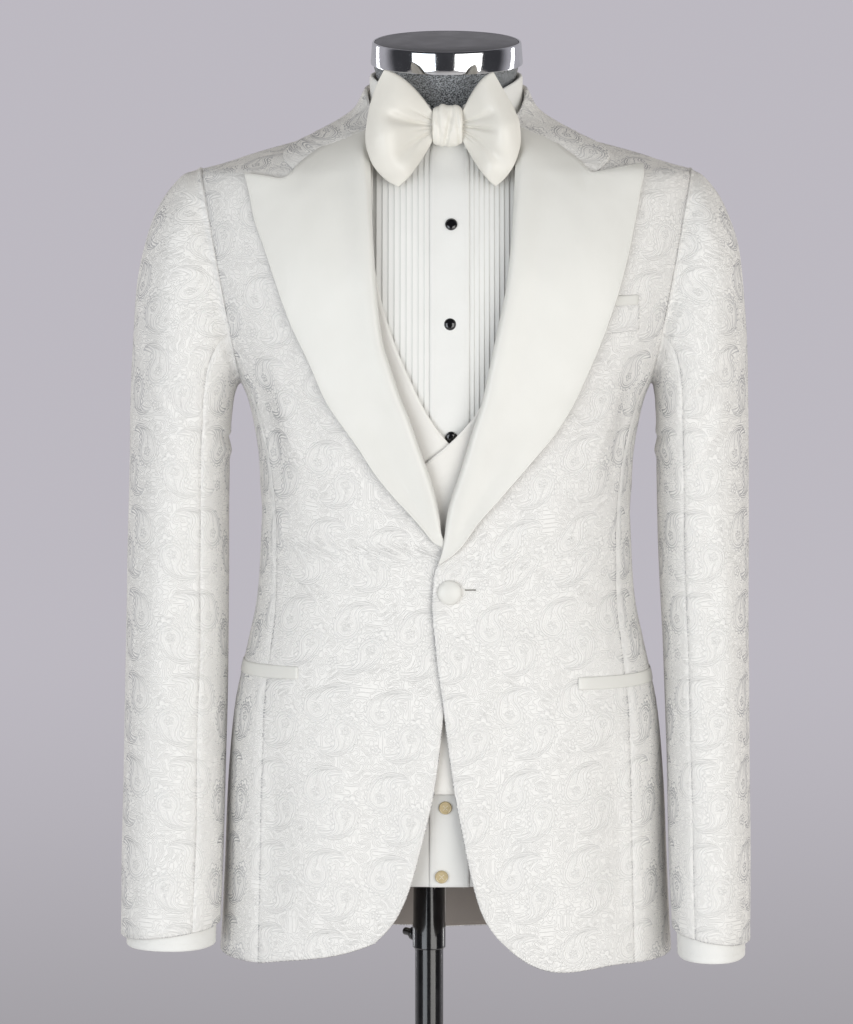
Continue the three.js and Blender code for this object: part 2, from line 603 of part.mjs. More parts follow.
function jacketCollar() {
  const turns = [0, 0.07, 0.16, 0.26, 0.37, 0.52, 0.68, 0.84, 1];
  const places = [...turns.map((turn) => ({ side: 1, turn })), ...turns.slice(0, -1).reverse()
    .map((turn) => ({ side: -1, turn }))];
  const half = wall.collar / 2;
  const rows = places.map(({ side, turn }) => {
    const centre = Array.from({ length: 8 }, (_, station) => {
      const degrees = mix(gorgeAngle(side, station), 180, turn);
      const spot = collarProfile(Math.max(degrees, collarKeys[0].angle))[station];
      return { degrees, ...spot };
    });
    return thicken(centre, half).map(({ outer, inner, degrees }) => ({
      outer: roundNeck(side * degrees, outer),
      inner: roundNeck(side * degrees, inner),
    }));
  });
  const outer = rows.map((row) => row.map((p) => p.outer));
  const inner = rows.map((row) => row.map((p) => p.inner));
  return wallMesh('jacket_collar', outer, inner, 'jacquard');
}

// Two lines on both sides of a profile of radius and height
function thicken(centre, half) {
  return centre.map((spot, i) => {
    const before = centre[Math.max(i - 1, 0)];
    const after = centre[Math.min(i + 1, centre.length - 1)];
    const along = new THREE.Vector2(after.radius - before.radius, after.z - before.z).normalize();
    const across = { radius: along.y * half, z: -along.x * half };
    return {
      degrees: spot.degrees,
      outer: { radius: spot.radius - across.radius, z: spot.z - across.z },
      inner: { radius: spot.radius + across.radius, z: spot.z + across.z },
    };
  });
}

function roundNeck(degrees, { radius, z }) {
  const angle = THREE.MathUtils.degToRad(degrees);
  return new THREE.Vector3(radius * Math.sin(angle), -radius * Math.cos(angle), z);
}

// Strips that lie on the fronts: hip pocket jets and the breast welt with its satin trim
function stripOnFront(name, side, corners, lift, thickness, look, columns = 6) {
  const [innerTop, outerTop, outerBottom, innerBottom] = corners;
  const between = (from, to, share) => ({
    degrees: mix(from.degrees, to.degrees, share),
    z: mix(from.z, to.z, share),
  });
  const rows = range(1).map((up) => {
    const start = between(innerBottom, innerTop, up);
    const end = between(outerBottom, outerTop, up);
    return range(columns).map((share) => between(start, end, share));
  });
  const outer = rows.map((row) => row.map((p) => jacketPoint(side, p.degrees, p.z, lift + thickness)));
  const inner = rows.map((row) => row.map((p) => jacketPoint(side, p.degrees, p.z, lift)));
  return wallMesh(name, outer, inner, look);
}

const onFront = (x, z) => ({ degrees: angleAcross(jacketSections, x, z), z });

function hipPocket(side) {
  const { degrees, lift } = hipPocketEnd;
  const [inner, outer] = side > 0 ? hipPocketPlaces.left : hipPocketPlaces.right;
  const corners = [onFront(inner.x, inner.top), { degrees: side * degrees, z: outer.top },
    { degrees: side * degrees, z: outer.bottom }, onFront(inner.x, inner.bottom)];
  return stripOnFront(`hip_pocket_jet_${nameOf(side)}`, side, corners, lift, wall.welt, 'satin', 8);
}

function breastWelt() {
  const { weltInner, weltOuter } = breastPocket;
  const corners = [onFront(weltInner.x, weltInner.top), onFront(weltOuter.x, weltOuter.top),
    onFront(weltOuter.x, weltOuter.bottom), onFront(weltInner.x, weltInner.bottom)];
  return stripOnFront('breast_welt', 1, corners, breastPocket.lift, wall.welt, 'jacquard');
}

function breastWeltTrim() {
  const { trimInner, trimOuter } = breastPocket;
  const corners = [onFront(trimInner.x, trimInner.top), onFront(trimOuter.x, trimOuter.top),
    onFront(trimOuter.x, trimOuter.bottom), onFront(trimInner.x, trimInner.bottom)];
  return stripOnFront('breast_welt_trim', 1, corners, breastPocket.lift, wall.welt, 'satin');
}

// Sleeves: rings between an outer and an inner rail; the first ring is the armhole itself
function sleeveRing(side, level) {
  const rings = side > 0 ? leftSleeve : rightSleeve;
  const numbered = rings.map((ring, i) => ({ ...ring, level: i / (rings.length - 1) }));
  const at = (column) => valueAt(numbered, 'level', column, level);
  return Object.fromEntries(sleeveColumns.map((column) => [column, at(column)]));
}

function sleevePoint(side, level, degrees, inset) {
  const ring = sleeveRing(side, level);
  const angle = THREE.MathUtils.degToRad(degrees);
  const outer = new THREE.Vector3(side * ring.outerX, ring.middleY, ring.outerZ);
  const inner = new THREE.Vector3(side * ring.innerX, ring.middleY, ring.innerZ);
  const chord = outer.clone().sub(inner);
  const halfChord = chord.length() / 2;
  const direction = chord.clone().normalize();
  const power = mix(2.35, 2.1, Math.min(level * 3, 1));
  const cos = Math.cos(angle);
  const sin = Math.sin(angle);
  const reach = Math.sign(cos) * Math.abs(cos) ** (2 / power) * (halfChord - inset);
  const depth = Math.sign(sin) * Math.abs(sin) ** (2 / power) * (ring.halfDepth - inset);
  const share = (reach / (halfChord - inset) + 1) / 2;
  const armZ = mix(armholeBottom, armholeTop, share);
  const armDepth = planeDepth(jacketSections, armholePlane, armZ, sin < 0) - inset * Math.abs(sin);
  const armWeight = 1 - step(0, 0.16, level);
  const y = mix(ring.middleY + depth, Math.sign(sin) * Math.max(armDepth, 0), armWeight);
  const centre = outer.add(inner).multiplyScalar(0.5);
  return centre.addScaledVector(direction, reach).setY(y);
}

function sleeveLevels(side, last) {
  const count = (side > 0 ? leftSleeve : rightSleeve).length - 1;
  return range(count).map((level) => mix(0, last, level));
}

function sleeveHalf(side, name, from, to, columns) {
  const start = seamGap / 60;
  const levels = sleeveLevels(side, 1).map((level) => mix(start * 0.12, 1, level));
  const angles = range(columns).map((share) => mix(from, to, share));
  const ease = (level) => new THREE.Vector3(side * armholeEase * (1 - step(0, 0.1, level)), 0, 0);
  const grid = (inset) => levels.map((level) => angles.map((degrees) => (
    sleevePoint(side, level, degrees, inset).add(ease(level)))));
  return wallMesh(`${name}_${nameOf(side)}`, grid(0), grid(wall.jacket), 'jacquard');
}

function sleeveSeamDegrees() {
  return THREE.MathUtils.radToDeg(seamGap / 2 / 50);
}

function upperSleeve(side) {
  return sleeveHalf(side, 'upper_sleeve', underSleeve.to - 360 + sleeveSeamDegrees(),
    underSleeve.from - sleeveSeamDegrees(), 10);
}

function lowerSleeve(side) {
  return sleeveHalf(side, 'under_sleeve', underSleeve.from + sleeveSeamDegrees(),
    underSleeve.to - sleeveSeamDegrees(), 5);
}

// Shirt sleeves inside those of the jacket, and the cuffs that show below the hems
function shirtSleeve(side) {
  const levels = [0.02, 0.16, 0.31, 0.46, 0.615, 0.77, 0.923, 0.955];
  const angles = range(12).slice(0, -1).map((share) => share * 360);
  const insetAt = (level) => mix(sleeveInset.shirt, sleeveInset.wrist, step(0.85, 0.955, level));
  const grid = (extra) => {
    const start = angles.map((degrees) => shirtArmholePoint(side, degrees, extra));
    return [start, ...levels.map((level) => angles.map((degrees) => (
      sleevePoint(side, level, degrees, insetAt(level) + extra))))];
  };
  return wallMesh(`shirt_sleeve_${nameOf(side)}`, grid(0), grid(wall.shirt), 'cotton', true);
}

function shirtArmholePoint(side, degrees, inset) {
  const angle = THREE.MathUtils.degToRad(degrees);
  const half = (shirtArmholeTop - shirtArmholeBottom) / 2 - 3 - inset;
  const z = (shirtArmholeTop + shirtArmholeBottom) / 2 + Math.cos(angle) * half;
  const depth = planeDepth(formSections, shirtArmholePlane, z, Math.sin(angle) < 0) - inset;
  const x = planeX(shirtArmholePlane, z) + 3.4;
  return new THREE.Vector3(side * x, Math.sin(angle) * Math.max(depth, 0), z);
}

function shirtCuff(side) {
  const angles = range(16).slice(0, -1).map((share) => share * 360);
  const bottomZ = side > 0 ? cuff.leftZ : cuff.rightZ;
  const slopeY = side > 0 ? 0.2 : 0.16;
  const grid = (inset) => [1, 0.5, 0].map((share) => angles.map((degrees) => {
    const top = sleevePoint(side, cuff.top, degrees, inset);
    const hem = sleevePoint(side, 1, degrees, inset);
    const flat = new THREE.Vector3(hem.x, hem.y - slopeY * (hem.z - bottomZ), bottomZ);
    return flat.lerp(top, share);
  }));
  return wallMesh(`shirt_cuff_${nameOf(side)}`, grid(sleeveInset.cuff), grid(sleeveInset.cuff + wall.shirt),
    'cotton', true);
}

// Waistcoat: two fronts that lap as a double-breasted one, and a back
function waistcoatLift(side, x, z) {
  const overStud = 1.9 * bump(Math.hypot(x - studs[2].x, z - studs[2].z), 11);
  const lap = side > 0 ? layer.overlap * (1 - step(52, 90, x)) * (1 - step(1300, 1380, z)) : 0;
  return layer.waistcoat + overStud + lap;
}

function waistcoatPoint(side, degrees, z, distance) {
  const x = onSurface(formSections, degrees, z).x;
  return offSurface(formSections, degrees, z, distance + waistcoatLift(side, x, z));
}

function waistcoatFront(side) {
  const heights = [waistcoatHem, 1215, 1240, 1262, 1285, 1310, 1340, 1400, 1450, 1484, 1502, 1515];
  const edge = side > 0 ? waistcoatLeftEdge : waistcoatRightEdge;
  const gap = THREE.MathUtils.radToDeg(seamGap / 2 / 120);
  const rows = heights.map((z) => {
    const start = angleAcross(formSections, valueAt(edge, 'z', 'x', z), z);
    const end = side * (valueAt(waistcoatSide, 'z', 'front', z) - gap);
    return range(8).map((share) => ({ degrees: mix(start, end, share), z }));
  });
  const outer = rows.map((row) => row.map((p) => waistcoatPoint(side, p.degrees, p.z, wall.waistcoat)));
  const inner = rows.map((row) => row.map((p) => waistcoatPoint(side, p.degrees, p.z, 0)));
  return wallMesh(`waistcoat_front_${nameOf(side)}`, outer, inner, 'waistcoat');
}

function waistcoatBack() {
  const heights = [waistcoatHem, ...clothLevels.slice(2, -1)];
  const gap = THREE.MathUtils.radToDeg(seamGap / 2 / 120);
  const rows = heights.map((z) => {
    const start = valueAt(waistcoatSide, 'z', 'back', z) + gap;
    return range(12).map((share) => ({ degrees: mix(start, 360 - start, share), z }));
  });
  const outer = rows.map((row) => row.map((p) => offSurface(formSections, p.degrees, p.z,
    layer.waistcoat + wall.waistcoat)));
  const inner = rows.map((row) => row.map((p) => offSurface(formSections, p.degrees, p.z, layer.waistcoat)));
  return wallMesh('waistcoat_back', outer, inner, 'waistcoat');
}

// Shirt fronts with stitched-down pleats beside the placket, the back, the placket and the collar
function pleatFolds(side) {
  const from = side > 0 ? plackets.left : plackets.right;
  const to = side > 0 ? pleat.left : pleat.right;
  const width = (to - from) / pleat.count;
  const folds = range(pleat.count).slice(0, -1).flatMap((_, i) => [
    { x: from + width * i, lift: 0 },
    { x: from + width * (i + 1) - side * pleat.fold, lift: pleat.depth },
  ]);
  return [{ x: plackets.seam + (side * seamGap) / 2, lift: 0 }, ...folds, { x: to, lift: 0 }];
}

function shirtFront(side) {
  const gap = THREE.MathUtils.radToDeg(seamGap / 2 / 120);
  const rows = clothLevels.map((z) => {
    const narrow = mix(1, 0.62, step(1495, 1533, z));
    const shown = step(1120, 1200, z) * (1 - step(1505, 1530, z));
    const bib = pleatFolds(side).map(({ x, lift }) => ({
      degrees: angleAcross(formSections, x * narrow, z), z, lift: lift * shown,
    }));
    const last = bib[bib.length - 1].degrees;
    const end = side * (valueAt(shirtSide, 'z', 'front', z) - gap);
    const rest = range(4).slice(1).map((share) => ({ degrees: mix(last, end, share), z, lift: 0 }));
    return [...bib, ...rest];
  });
  const outer = rows.map((row) => row.map((p) => offSurface(formSections, p.degrees, p.z,
    layer.shirt + wall.shirt + p.lift)));
  const inner = rows.map((row) => row.map((p) => offSurface(formSections, p.degrees, p.z, layer.shirt)));
  return wallMesh(`shirt_front_${nameOf(side)}`, outer, inner, 'cotton');
}

function shirtBack() {
  const gap = THREE.MathUtils.radToDeg(seamGap / 2 / 120);
  const rows = clothLevels.map((z) => {
    const start = valueAt(shirtSide, 'z', 'back', z) + gap;
    return range(12).map((share) => ({ degrees: mix(start, 360 - start, share), z }));
  });
  const outer = rows.map((row) => row.map((p) => offSurface(formSections, p.degrees, p.z,
    layer.shirt + wall.shirt)));
  const inner = rows.map((row) => row.map((p) => offSurface(formSections, p.degrees, p.z, layer.shirt)));
  return wallMesh('shirt_back', outer, inner, 'cotton');
}

function shirtPlacket() {
  const rows = clothLevels.map((z) => {
    const narrow = mix(1, 0.62, step(1495, 1533, z));
    return [plackets.right, plackets.seam, plackets.left].map((x) => ({
      degrees: angleAcross(formSections, x * narrow, z), z,
    }));
  });
  const outer = rows.map((row) => row.map((p) => offSurface(formSections, p.degrees, p.z,
    layer.placket + wall.placket)));
  const inner = rows.map((row) => row.map((p) => offSurface(formSections, p.degrees, p.z, layer.placket)));
  return wallMesh('shirt_placket', outer, inner, 'cotton');
}

function shirtCollarProfile(degrees) {
  const key = (column) => valueAt(shirtCollarKeys, 'angle', column, degrees);
  const neck = radiusAt(formSections, degrees, 1558);
  const stand = { radius: neck + key('standOut'), z: key('standZ') };
  const fold = { radius: neck + key('foldOut'), z: key('foldZ') };
  const leaf = { radius: neck + key('leafOut'), z: key('leafZ') };
  const turned = { radius: fold.radius + 1.3, z: fold.z - 2.6 };
  return [stand,
    { radius: mix(stand.radius, fold.radius - 1.5, 0.25), z: mix(stand.z, fold.z, 0.5) },
    { radius: fold.radius - 1.5, z: fold.z - 3.2 },
    fold,
    turned,
    { radius: mix(turned.radius, leaf.radius, 0.6), z: mix(turned.z, leaf.z, 0.5) },
    leaf];
}

const collarAngles = range(22).map((share) => mix(15, 345, share));

function shirtCollar() {
  const rows = collarAngles.map((angle) => {
    const fromFront = angle > 180 ? 360 - angle : angle;
    return thicken(shirtCollarProfile(fromFront), wall.shirt / 2).map(({ outer, inner }) => ({
      outer: roundNeck(angle, outer),
      inner: roundNeck(angle, inner),
    }));
  });
  return wallMesh('shirt_collar', rows.map((row) => row.map((p) => p.outer)),
    rows.map((row) => row.map((p) => p.inner)), 'cotton');
}

// Bow tie: each wing is a flat loop of satin pinched in the knot, with a band round the collar
function bowRim(side, rise) {
  const rows = side > 0 ? leftRim : rightRim;
  return { x: valueAt(rows, 'rise', 'x', rise), z: valueAt(rows, 'rise', 'z', rise) };
}

function bowWingPoint(side, out, rise, isFront, inset) {
  const rim = bowRim(side, rise);
  const pinch = { x: side * bow.pinch + 1, z: bow.knotZ + (rise - 0.5) * 21 };
  const reach = out * (1 - (inset + wall.bow / 2) / 62);
  const edge = Math.abs(rise - 0.5) * 2;
  const swell = 4 * out * (1 - out) * edge ** 3 * (rise > 0.5 ? 7 : -4.5);
  const x = mix(pinch.x, rim.x, reach);
  const z = mix(pinch.z, rim.z, reach) + swell;
  const lobes = 0.45 + 0.55 * Math.abs(Math.cos(Math.PI * rise)) ** 0.6;
  const ends = 0.35 + 0.65 * Math.sqrt(Math.max(1 - edge ** 4, 0));
  const half = mix(2.2, bow.half, out) + bow.bulge * Math.sin(Math.PI * out ** 0.85) * lobes * ends;
  const outerY = mix(bow.lobeY, bow.tipY, step(1545, 1592, z));
  const middle = mix(bow.y, outerY, step(0, 0.75, out));
  const shell = half + (inset > 0 ? -wall.bow / 2 : wall.bow / 2);
  return new THREE.Vector3(x, middle + (isFront ? -shell : shell), z);
}

function bowWing(side) {
  const outs = [0, 0.15, 0.35, 0.55, 0.75, 0.92, 1];
  const loop = [...outs.map((out) => ({ out, isFront: true })), ...outs.slice().reverse()
    .map((out) => ({ out, isFront: false }))];
  const rises = range(8);
  const grid = (inset) => rises.map((rise) => loop.map(({ out, isFront }) => (
    bowWingPoint(side, out, rise, isFront, inset))));
  return wallMesh(`bow_wing_${nameOf(side)}`, grid(0), grid(wall.bow), 'satin');
}

function bowKnot() {
  const { centreX, halfWidth, outer, inner, taper, count } = bowKnotSize;
  const across = [-1, -0.7, 0, 0.7, 1];
  const grid = (size, narrow) => across.map((place) => Array.from({ length: count }, (_, i) => {
    const angle = (i / count) * Math.PI * 2;
    const crown = 1 - narrow * place ** 4;
    const y = bow.y - Math.cos(angle) * size.deep * crown;
    const z = bow.knotZ + Math.sin(angle) * size.high * crown;
    return new THREE.Vector3(centreX + place * halfWidth, y, z);
  }));
  return wallMesh('bow_knot', grid(outer, taper), grid(inner, 0), 'satin', true);
}

function bowBandStrip() {
  const angles = [0, ...collarAngles];
  const line = (out) => [-1, 1].map((up) => angles.map((degrees) => {
    const fromFront = degrees > 180 ? 360 - degrees : degrees;
    const middle = fromFront < 90 ? mix(bowBand.frontZ, bowBand.sideZ, step(5, 90, fromFront))
      : mix(bowBand.sideZ, bowBand.backZ, step(90, 180, fromFront));
    const radius = radiusAt(formSections, degrees, 1558) + bowBand.out + out;
    return roundNeck(degrees, { radius, z: middle + up * bowBand.half });
  }));
  return wallMesh('bow_band', line(0.6), line(-0.6), 'satin', true);
}

// Studs and buttons: turned discs that lie on the cloth below them
function buttonOn(name, sections, x, z, lift, profile, look, segments) {
  const mesh = turnedMesh(name, profile, look, segments);
  const degrees = angleAcross(sections, x, z);
  const normal = surfaceNormal(sections, degrees, z);
  mesh.position.copy(offSurface(sections, degrees, z, lift));
  mesh.quaternion.setFromUnitVectors(new THREE.Vector3(0, 0, 1), normal);
  return mesh;
}

function domedProfile(radius, depth, rim) {
  const crown = range(4).slice(1).map((share) => {
    const angle = (share * Math.PI) / 2;
    return [radius * Math.cos(angle), rim + (depth - rim) * Math.sin(angle)];
  });
  return [[0, 0], [radius * 0.93, 0], [radius, rim * 0.5], [radius, rim], ...crown.slice(0, -1), [0, depth]];
}

function shirtStud(i) {
  const lift = layer.placket + wall.placket + studs[i].seat;
  return buttonOn(`shirt_stud_${i + 1}`, formSections, studs[i].x, studs[i].z, lift,
    domedProfile(stud.radius, stud.depth, 1), 'stone', 12);
}

function shirtLowButton(i) {
  const lift = layer.placket + wall.placket + shirtButtons[i].seat;
  const { radius, depth } = shirtButton;
  const profile = [[0, 0], [radius * 0.9, 0], [radius, 0.8], [radius, depth * 0.8], [radius * 0.86, depth],
    [radius * 0.66, depth * 0.7], [0, depth * 0.62]];
  return buttonOn(`shirt_button_${i + 1}`, formSections, shirtButtons[i].x, shirtButtons[i].z, lift, profile,
    'pearl', 12);
}

function coveredButton() {
  const lift = jacketLift(1, jacketButton.x, jacketButton.z) + seamGap;
  return buttonOn('jacket_button', jacketSections, jacketButton.x, jacketButton.z, lift,
    domedProfile(jacketButton.radius, jacketButton.depth, 2), 'satin', 16);
}

// The dress form: torso with its neck, the chromed cap, the socket, and the pole on a round foot
function formRing(z, count) {
  const inside = mix(layer.formEase, layer.neckEase, step(1512, 1541, z));
  const lean = step(form.leanFrom, form.top, z) * Math.tan(form.tilt);
  return Array.from({ length: count }, (_, i) => {
    const point = offSurface(formSections, (i / count) * 360, z, -inside);
    const height = z === form.bottom ? z : point.z;
    return point.setZ(height + lean * (point.y - cap.centreY));
  });
}

function formTorso() {
  const count = 24;
  const bore = (z) => Array.from({ length: count }, (_, i) => {
    const angle = (i / count) * Math.PI * 2;
    return new THREE.Vector3(pole.x + form.bore * Math.sin(angle), -form.bore * Math.cos(angle), z);
  });
  const heights = [form.bottom, ...clothLevels.slice(1), 1540, 1548, 1558, 1572, 1583, form.top];
  const skin = heights.map((z) => formRing(z, count));
  return stackMesh('form_torso', [bore(form.boreTop), bore(form.bottom), ...skin], 'formCloth');
}

function capPiece(name, profile, look) {
  const mesh = turnedMesh(name, profile, look, 32);
  mesh.scale.set(1, cap.depth / cap.side, 1);
  const holder = new THREE.Group();
  holder.position.set(0.5, cap.centreY, form.top + 0.4);
  holder.rotation.x = form.tilt;
  holder.add(mesh);
  return holder;
}

function capRim() {
  const inner = cap.disc + seamGap;
  return capPiece('form_cap_rim', [[0, 0], [cap.side - 1, 0], [cap.side, 1], [cap.side, cap.rim - 1],
    [cap.side - 0.8, cap.rim], [inner, cap.rim], [inner, cap.rim - cap.lip], [0, cap.rim - cap.lip]],
  'chrome');
}

function capDisc() {
  const from = cap.rim - cap.lip + seamGap;
  return capPiece('form_cap_disc', [[0, from], [cap.disc, from], [cap.disc, cap.rim - 0.4],
    [cap.disc - 0.6, cap.rim], [0, cap.rim]], 'steel');
}

function onPole(mesh) {
  mesh.position.x = pole.x;
  return mesh;
}

function formSocket() {
  const { bottom, top, bore, outer, flare } = socket;
  return onPole(turnedMesh('form_socket', [[bore, bottom], [flare - 0.6, bottom], [flare, bottom + 1.5],
    [flare, bottom + 22], [outer, 884], [outer, top], [bore, top], [bore, bottom]], 'black'));
}

function standPole() {
  const foot = base.thickness + seamGap;
  const hubTop = base.thickness + base.hubHeight;
  const { hubRadius } = base;
  return onPole(turnedMesh('stand_pole', [[0, foot], [hubRadius, foot], [hubRadius, foot + 5],
    [pole.radius + 5, hubTop - 4], [pole.radius + 4, hubTop], [pole.radius, hubTop], [pole.radius, pole.top],
    [0, pole.top]], 'black'));
}

function standBase() {
  const { radius, thickness } = base;
  return onPole(turnedMesh('stand_base', [[0, 0], [radius - 1, 0], [radius, 1], [radius, thickness - 2.5],
    [radius - 2.5, thickness], [0, thickness]], 'black', 48));
}

// A thumb screw that clamps the socket on the pole, behind it
function clampScrew() {
  const { shank, collar, stem, length } = clamp;
  const profile = [[0, 0], [shank, 0], [shank, 4], [collar, 5], [collar, 9], [stem, 10], [stem, length],
    [0, length]];
  const mesh = turnedMesh('clamp_screw', profile, 'black', 12);
  const angle = THREE.MathUtils.degToRad(clamp.turn);
  const direction = new THREE.Vector3(Math.sin(angle), -Math.cos(angle), 0);
  mesh.quaternion.setFromUnitVectors(new THREE.Vector3(0, 0, 1), direction);
  mesh.position.set(pole.x, 0, clamp.z).addScaledVector(direction, socket.flare + seamGap);
  return mesh;
}

const sides = [-1, 1];
const tuxedo = new THREE.Group();
for (const side of sides) {
  tuxedo.add(jacketFront(side), jacketSide(side), jacketBack(side), upperSleeve(side), lowerSleeve(side));
  tuxedo.add(lapel(side), hipPocket(side));
  tuxedo.add(waistcoatFront(side), shirtFront(side), shirtSleeve(side), shirtCuff(side), bowWing(side));
}
tuxedo.add(jacketCollar(), breastWelt(), breastWeltTrim(), coveredButton());
tuxedo.add(waistcoatBack(), shirtBack(), shirtPlacket(), shirtCollar(), bowKnot(), bowBandStrip());
studs.forEach((_, i) => tuxedo.add(shirtStud(i)));
shirtButtons.forEach((_, i) => tuxedo.add(shirtLowButton(i)));
tuxedo.add(formTorso(), capRim(), capDisc(), formSocket(), clampScrew(), standPole(), standBase());

export default tuxedo;
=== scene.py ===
import math

import bmesh
import bpy
import numpy as np
from mathutils import Matrix, Vector


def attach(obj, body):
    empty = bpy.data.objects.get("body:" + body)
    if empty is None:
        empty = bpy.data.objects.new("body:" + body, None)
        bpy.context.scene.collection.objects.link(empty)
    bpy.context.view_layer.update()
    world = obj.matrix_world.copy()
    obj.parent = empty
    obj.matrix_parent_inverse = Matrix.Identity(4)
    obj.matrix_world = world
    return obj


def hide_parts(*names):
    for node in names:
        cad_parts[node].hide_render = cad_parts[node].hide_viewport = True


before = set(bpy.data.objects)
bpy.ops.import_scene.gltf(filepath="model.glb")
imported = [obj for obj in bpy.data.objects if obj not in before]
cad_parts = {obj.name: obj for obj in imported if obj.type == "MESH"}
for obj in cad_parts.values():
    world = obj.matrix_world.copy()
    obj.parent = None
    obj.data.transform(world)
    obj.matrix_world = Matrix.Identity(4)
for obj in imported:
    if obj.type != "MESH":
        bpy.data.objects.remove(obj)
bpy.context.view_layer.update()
print("frame loaded:", len(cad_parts), "nodes")

metre = 0.001
seamGap = 0.3
wall = {
    "jacket": 2, "lapel": 1.8, "collar": 1.8, "waistcoat": 1.4, "shirt": 1.2, "placket": 1, "bow": 1.4,
    "welt": 1.2,
}
layer = {"shirt": 0.6, "placket": 2.1, "waistcoat": 5.3, "lapel": 2.7, "overlap": 3, "formEase": 7.5,
         "neckEase": 0.2}


# Curves and body surfaces
def table(columns, rows):
    data = np.array(rows, float)
    return {name: data[:, i] for i, name in enumerate(columns)}


def curveAt(rows, key, column, at):  # a smooth curve through the rows that never swings past them
    keys, values = rows[key], rows[column]
    if keys[-1] < keys[0]:
        keys, values = keys[::-1], values[::-1]
    rise = np.diff(values) / np.diff(keys)
    before, after = rise[:-1], rise[1:]
    total = np.where(before * after > 0, before + after, 1)
    slopes = np.concatenate([rise[:1], np.where(before * after > 0, 2 * before * after / total, 0),
                             rise[-1:]])
    at = np.clip(at, keys[0], keys[-1])
    i = np.clip(np.searchsorted(keys, at) - 1, 0, len(keys) - 2)
    span = keys[i + 1] - keys[i]
    t = (at - keys[i]) / span
    return (
        (2 * t**3 - 3 * t * t + 1) * values[i]
        + (t**3 - 2 * t * t + t) * span * slopes[i]
        + (-2 * t**3 + 3 * t * t) * values[i + 1]
        + (t**3 - t * t) * span * slopes[i + 1]
    )


def mix(a, b, t):
    return a + (b - a) * t


def ease(a, b, x):
    t = np.clip((x - a) / (b - a), 0, 1)
    return t * t * (3 - 2 * t)


def bell(distance, spread):
    return np.exp(-(distance**2) / (2 * spread**2))


def unit(vectors):
    return vectors / np.maximum(np.linalg.norm(vectors, axis=-1, keepdims=True), 1e-9)


sectionColumns = ["z", "side", "front", "back", "power"]
jacketBody = table(sectionColumns, [
    [812, 197, 119, 126, 2.4], [900, 191, 122, 126, 2.4], [985, 187, 123, 123, 2.4],
    [1040, 182.5, 122, 118, 2.4],
    [1071, 176.5, 120, 115, 2.4], [1100, 170, 118, 111, 2.4], [1131, 163.5, 116, 106, 2.4],
    [1155, 161, 115, 103, 2.4], [1190, 159.3, 114, 101, 2.4], [1215, 158.6, 114, 100, 2.4],
    [1245, 159.5, 116, 101, 2.4], [1270, 162, 118.5, 104, 2.4], [1290, 165.5, 121, 107, 2.4],
    [1308, 170, 122.5, 110, 2.4], [1330, 180, 124, 113, 2.38], [1370, 197, 122.5, 118, 2.35],
    [1410, 209, 118, 120, 2.35], [1450, 215, 110, 116, 2.35], [1480, 216, 100, 109, 2.35],
    [1503, 210, 88.5, 101, 2.3], [1508.5, 190, 85, 98, 2.3], [1516, 168, 80, 94, 2.3],
    [1524, 140, 75, 89, 2.3],
    [1529.5, 120, 72, 85, 2.3], [1535.5, 100, 69, 80, 2.3], [1541.5, 80, 66, 75, 2.3],
    [1547, 66, 64, 71, 2.3],
])
formBody = table(sectionColumns, [
    [880, 156, 98, 104, 2.3], [903, 158, 100, 106, 2.3], [985, 163, 106, 108, 2.3],
    [1040, 161, 106, 105, 2.3],
    [1100, 153, 102, 98, 2.3], [1155, 146, 100, 91, 2.3], [1215, 144, 99, 88, 2.3], [1270, 148, 104, 92, 2.3],
    [1330, 163, 110, 101, 2.3], [1370, 178, 109, 106, 2.3], [1410, 188, 104, 108, 2.3],
    [1450, 193, 95, 103, 2.3],
    [1480, 190, 84, 95, 2.25], [1496, 179, 75, 88, 2.2], [1504, 160, 68, 83, 2.2], [1512, 130, 62, 78, 2.2],
    [1520, 103, 57, 73, 2.2], [1528, 82, 53, 68, 2.2], [1540, 60, 50, 58, 2.1], [1548, 57, 48.5, 56, 2],
    [1558, 55, 48, 54, 2], [1572, 56.5, 50, 54.5, 2], [1583, 60, 56, 56, 2], [1592, 62.5, 61, 57, 2],
    [1604, 63, 62, 57.5, 2],
])


def sectionAt(body, z):
    return [curveAt(body, "z", name, z) for name in sectionColumns[1:]]


def radiusAt(body, degrees, z):
    side, front, back, power = sectionAt(body, z)
    angle = np.radians(degrees)
    depth = np.where(np.cos(angle) > 0, front, back)
    across = np.abs(np.sin(angle)) / side
    along = np.abs(np.cos(angle)) / depth
    return (across**power + along**power) ** (-1 / power)


def onBody(body, degrees, z):
    degrees, z = np.broadcast_arrays(np.asarray(degrees, float), np.asarray(z, float))
    angle = np.radians(degrees)
    radius = radiusAt(body, degrees, z)
    return np.stack([radius * np.sin(angle), -radius * np.cos(angle), z], -1)


def bodyNormal(body, degrees, z):
    around = onBody(body, degrees + 0.5, z) - onBody(body, degrees - 0.5, z)
    up = onBody(body, degrees, np.minimum(z + 1, body["z"][-1])) - onBody(body, degrees,
                                                                          np.maximum(z - 1, body["z"][0]))
    return unit(np.cross(around, up))


def offBody(body, degrees, z, distance):
    return onBody(body, degrees, z) + bodyNormal(body, degrees, z) * np.asarray(distance, float)[..., None]


def angleAcross(body, x, z):
    side, front, _, power = sectionAt(body, z)
    share = np.minimum(np.abs(x) / side, 1)
    return np.degrees(np.arctan2(x, front * (1 - share**power) ** (1 / power)))


# Cloth meshes
def fine(levels, spacing):  # the same levels with more between them
    parts = [np.linspace(a, b, max(int(math.ceil(abs(b - a) / spacing)), 1), endpoint=False)
             for a, b in zip(levels[:-1], levels[1:])]
    return np.concatenate(parts + [[levels[-1]]])


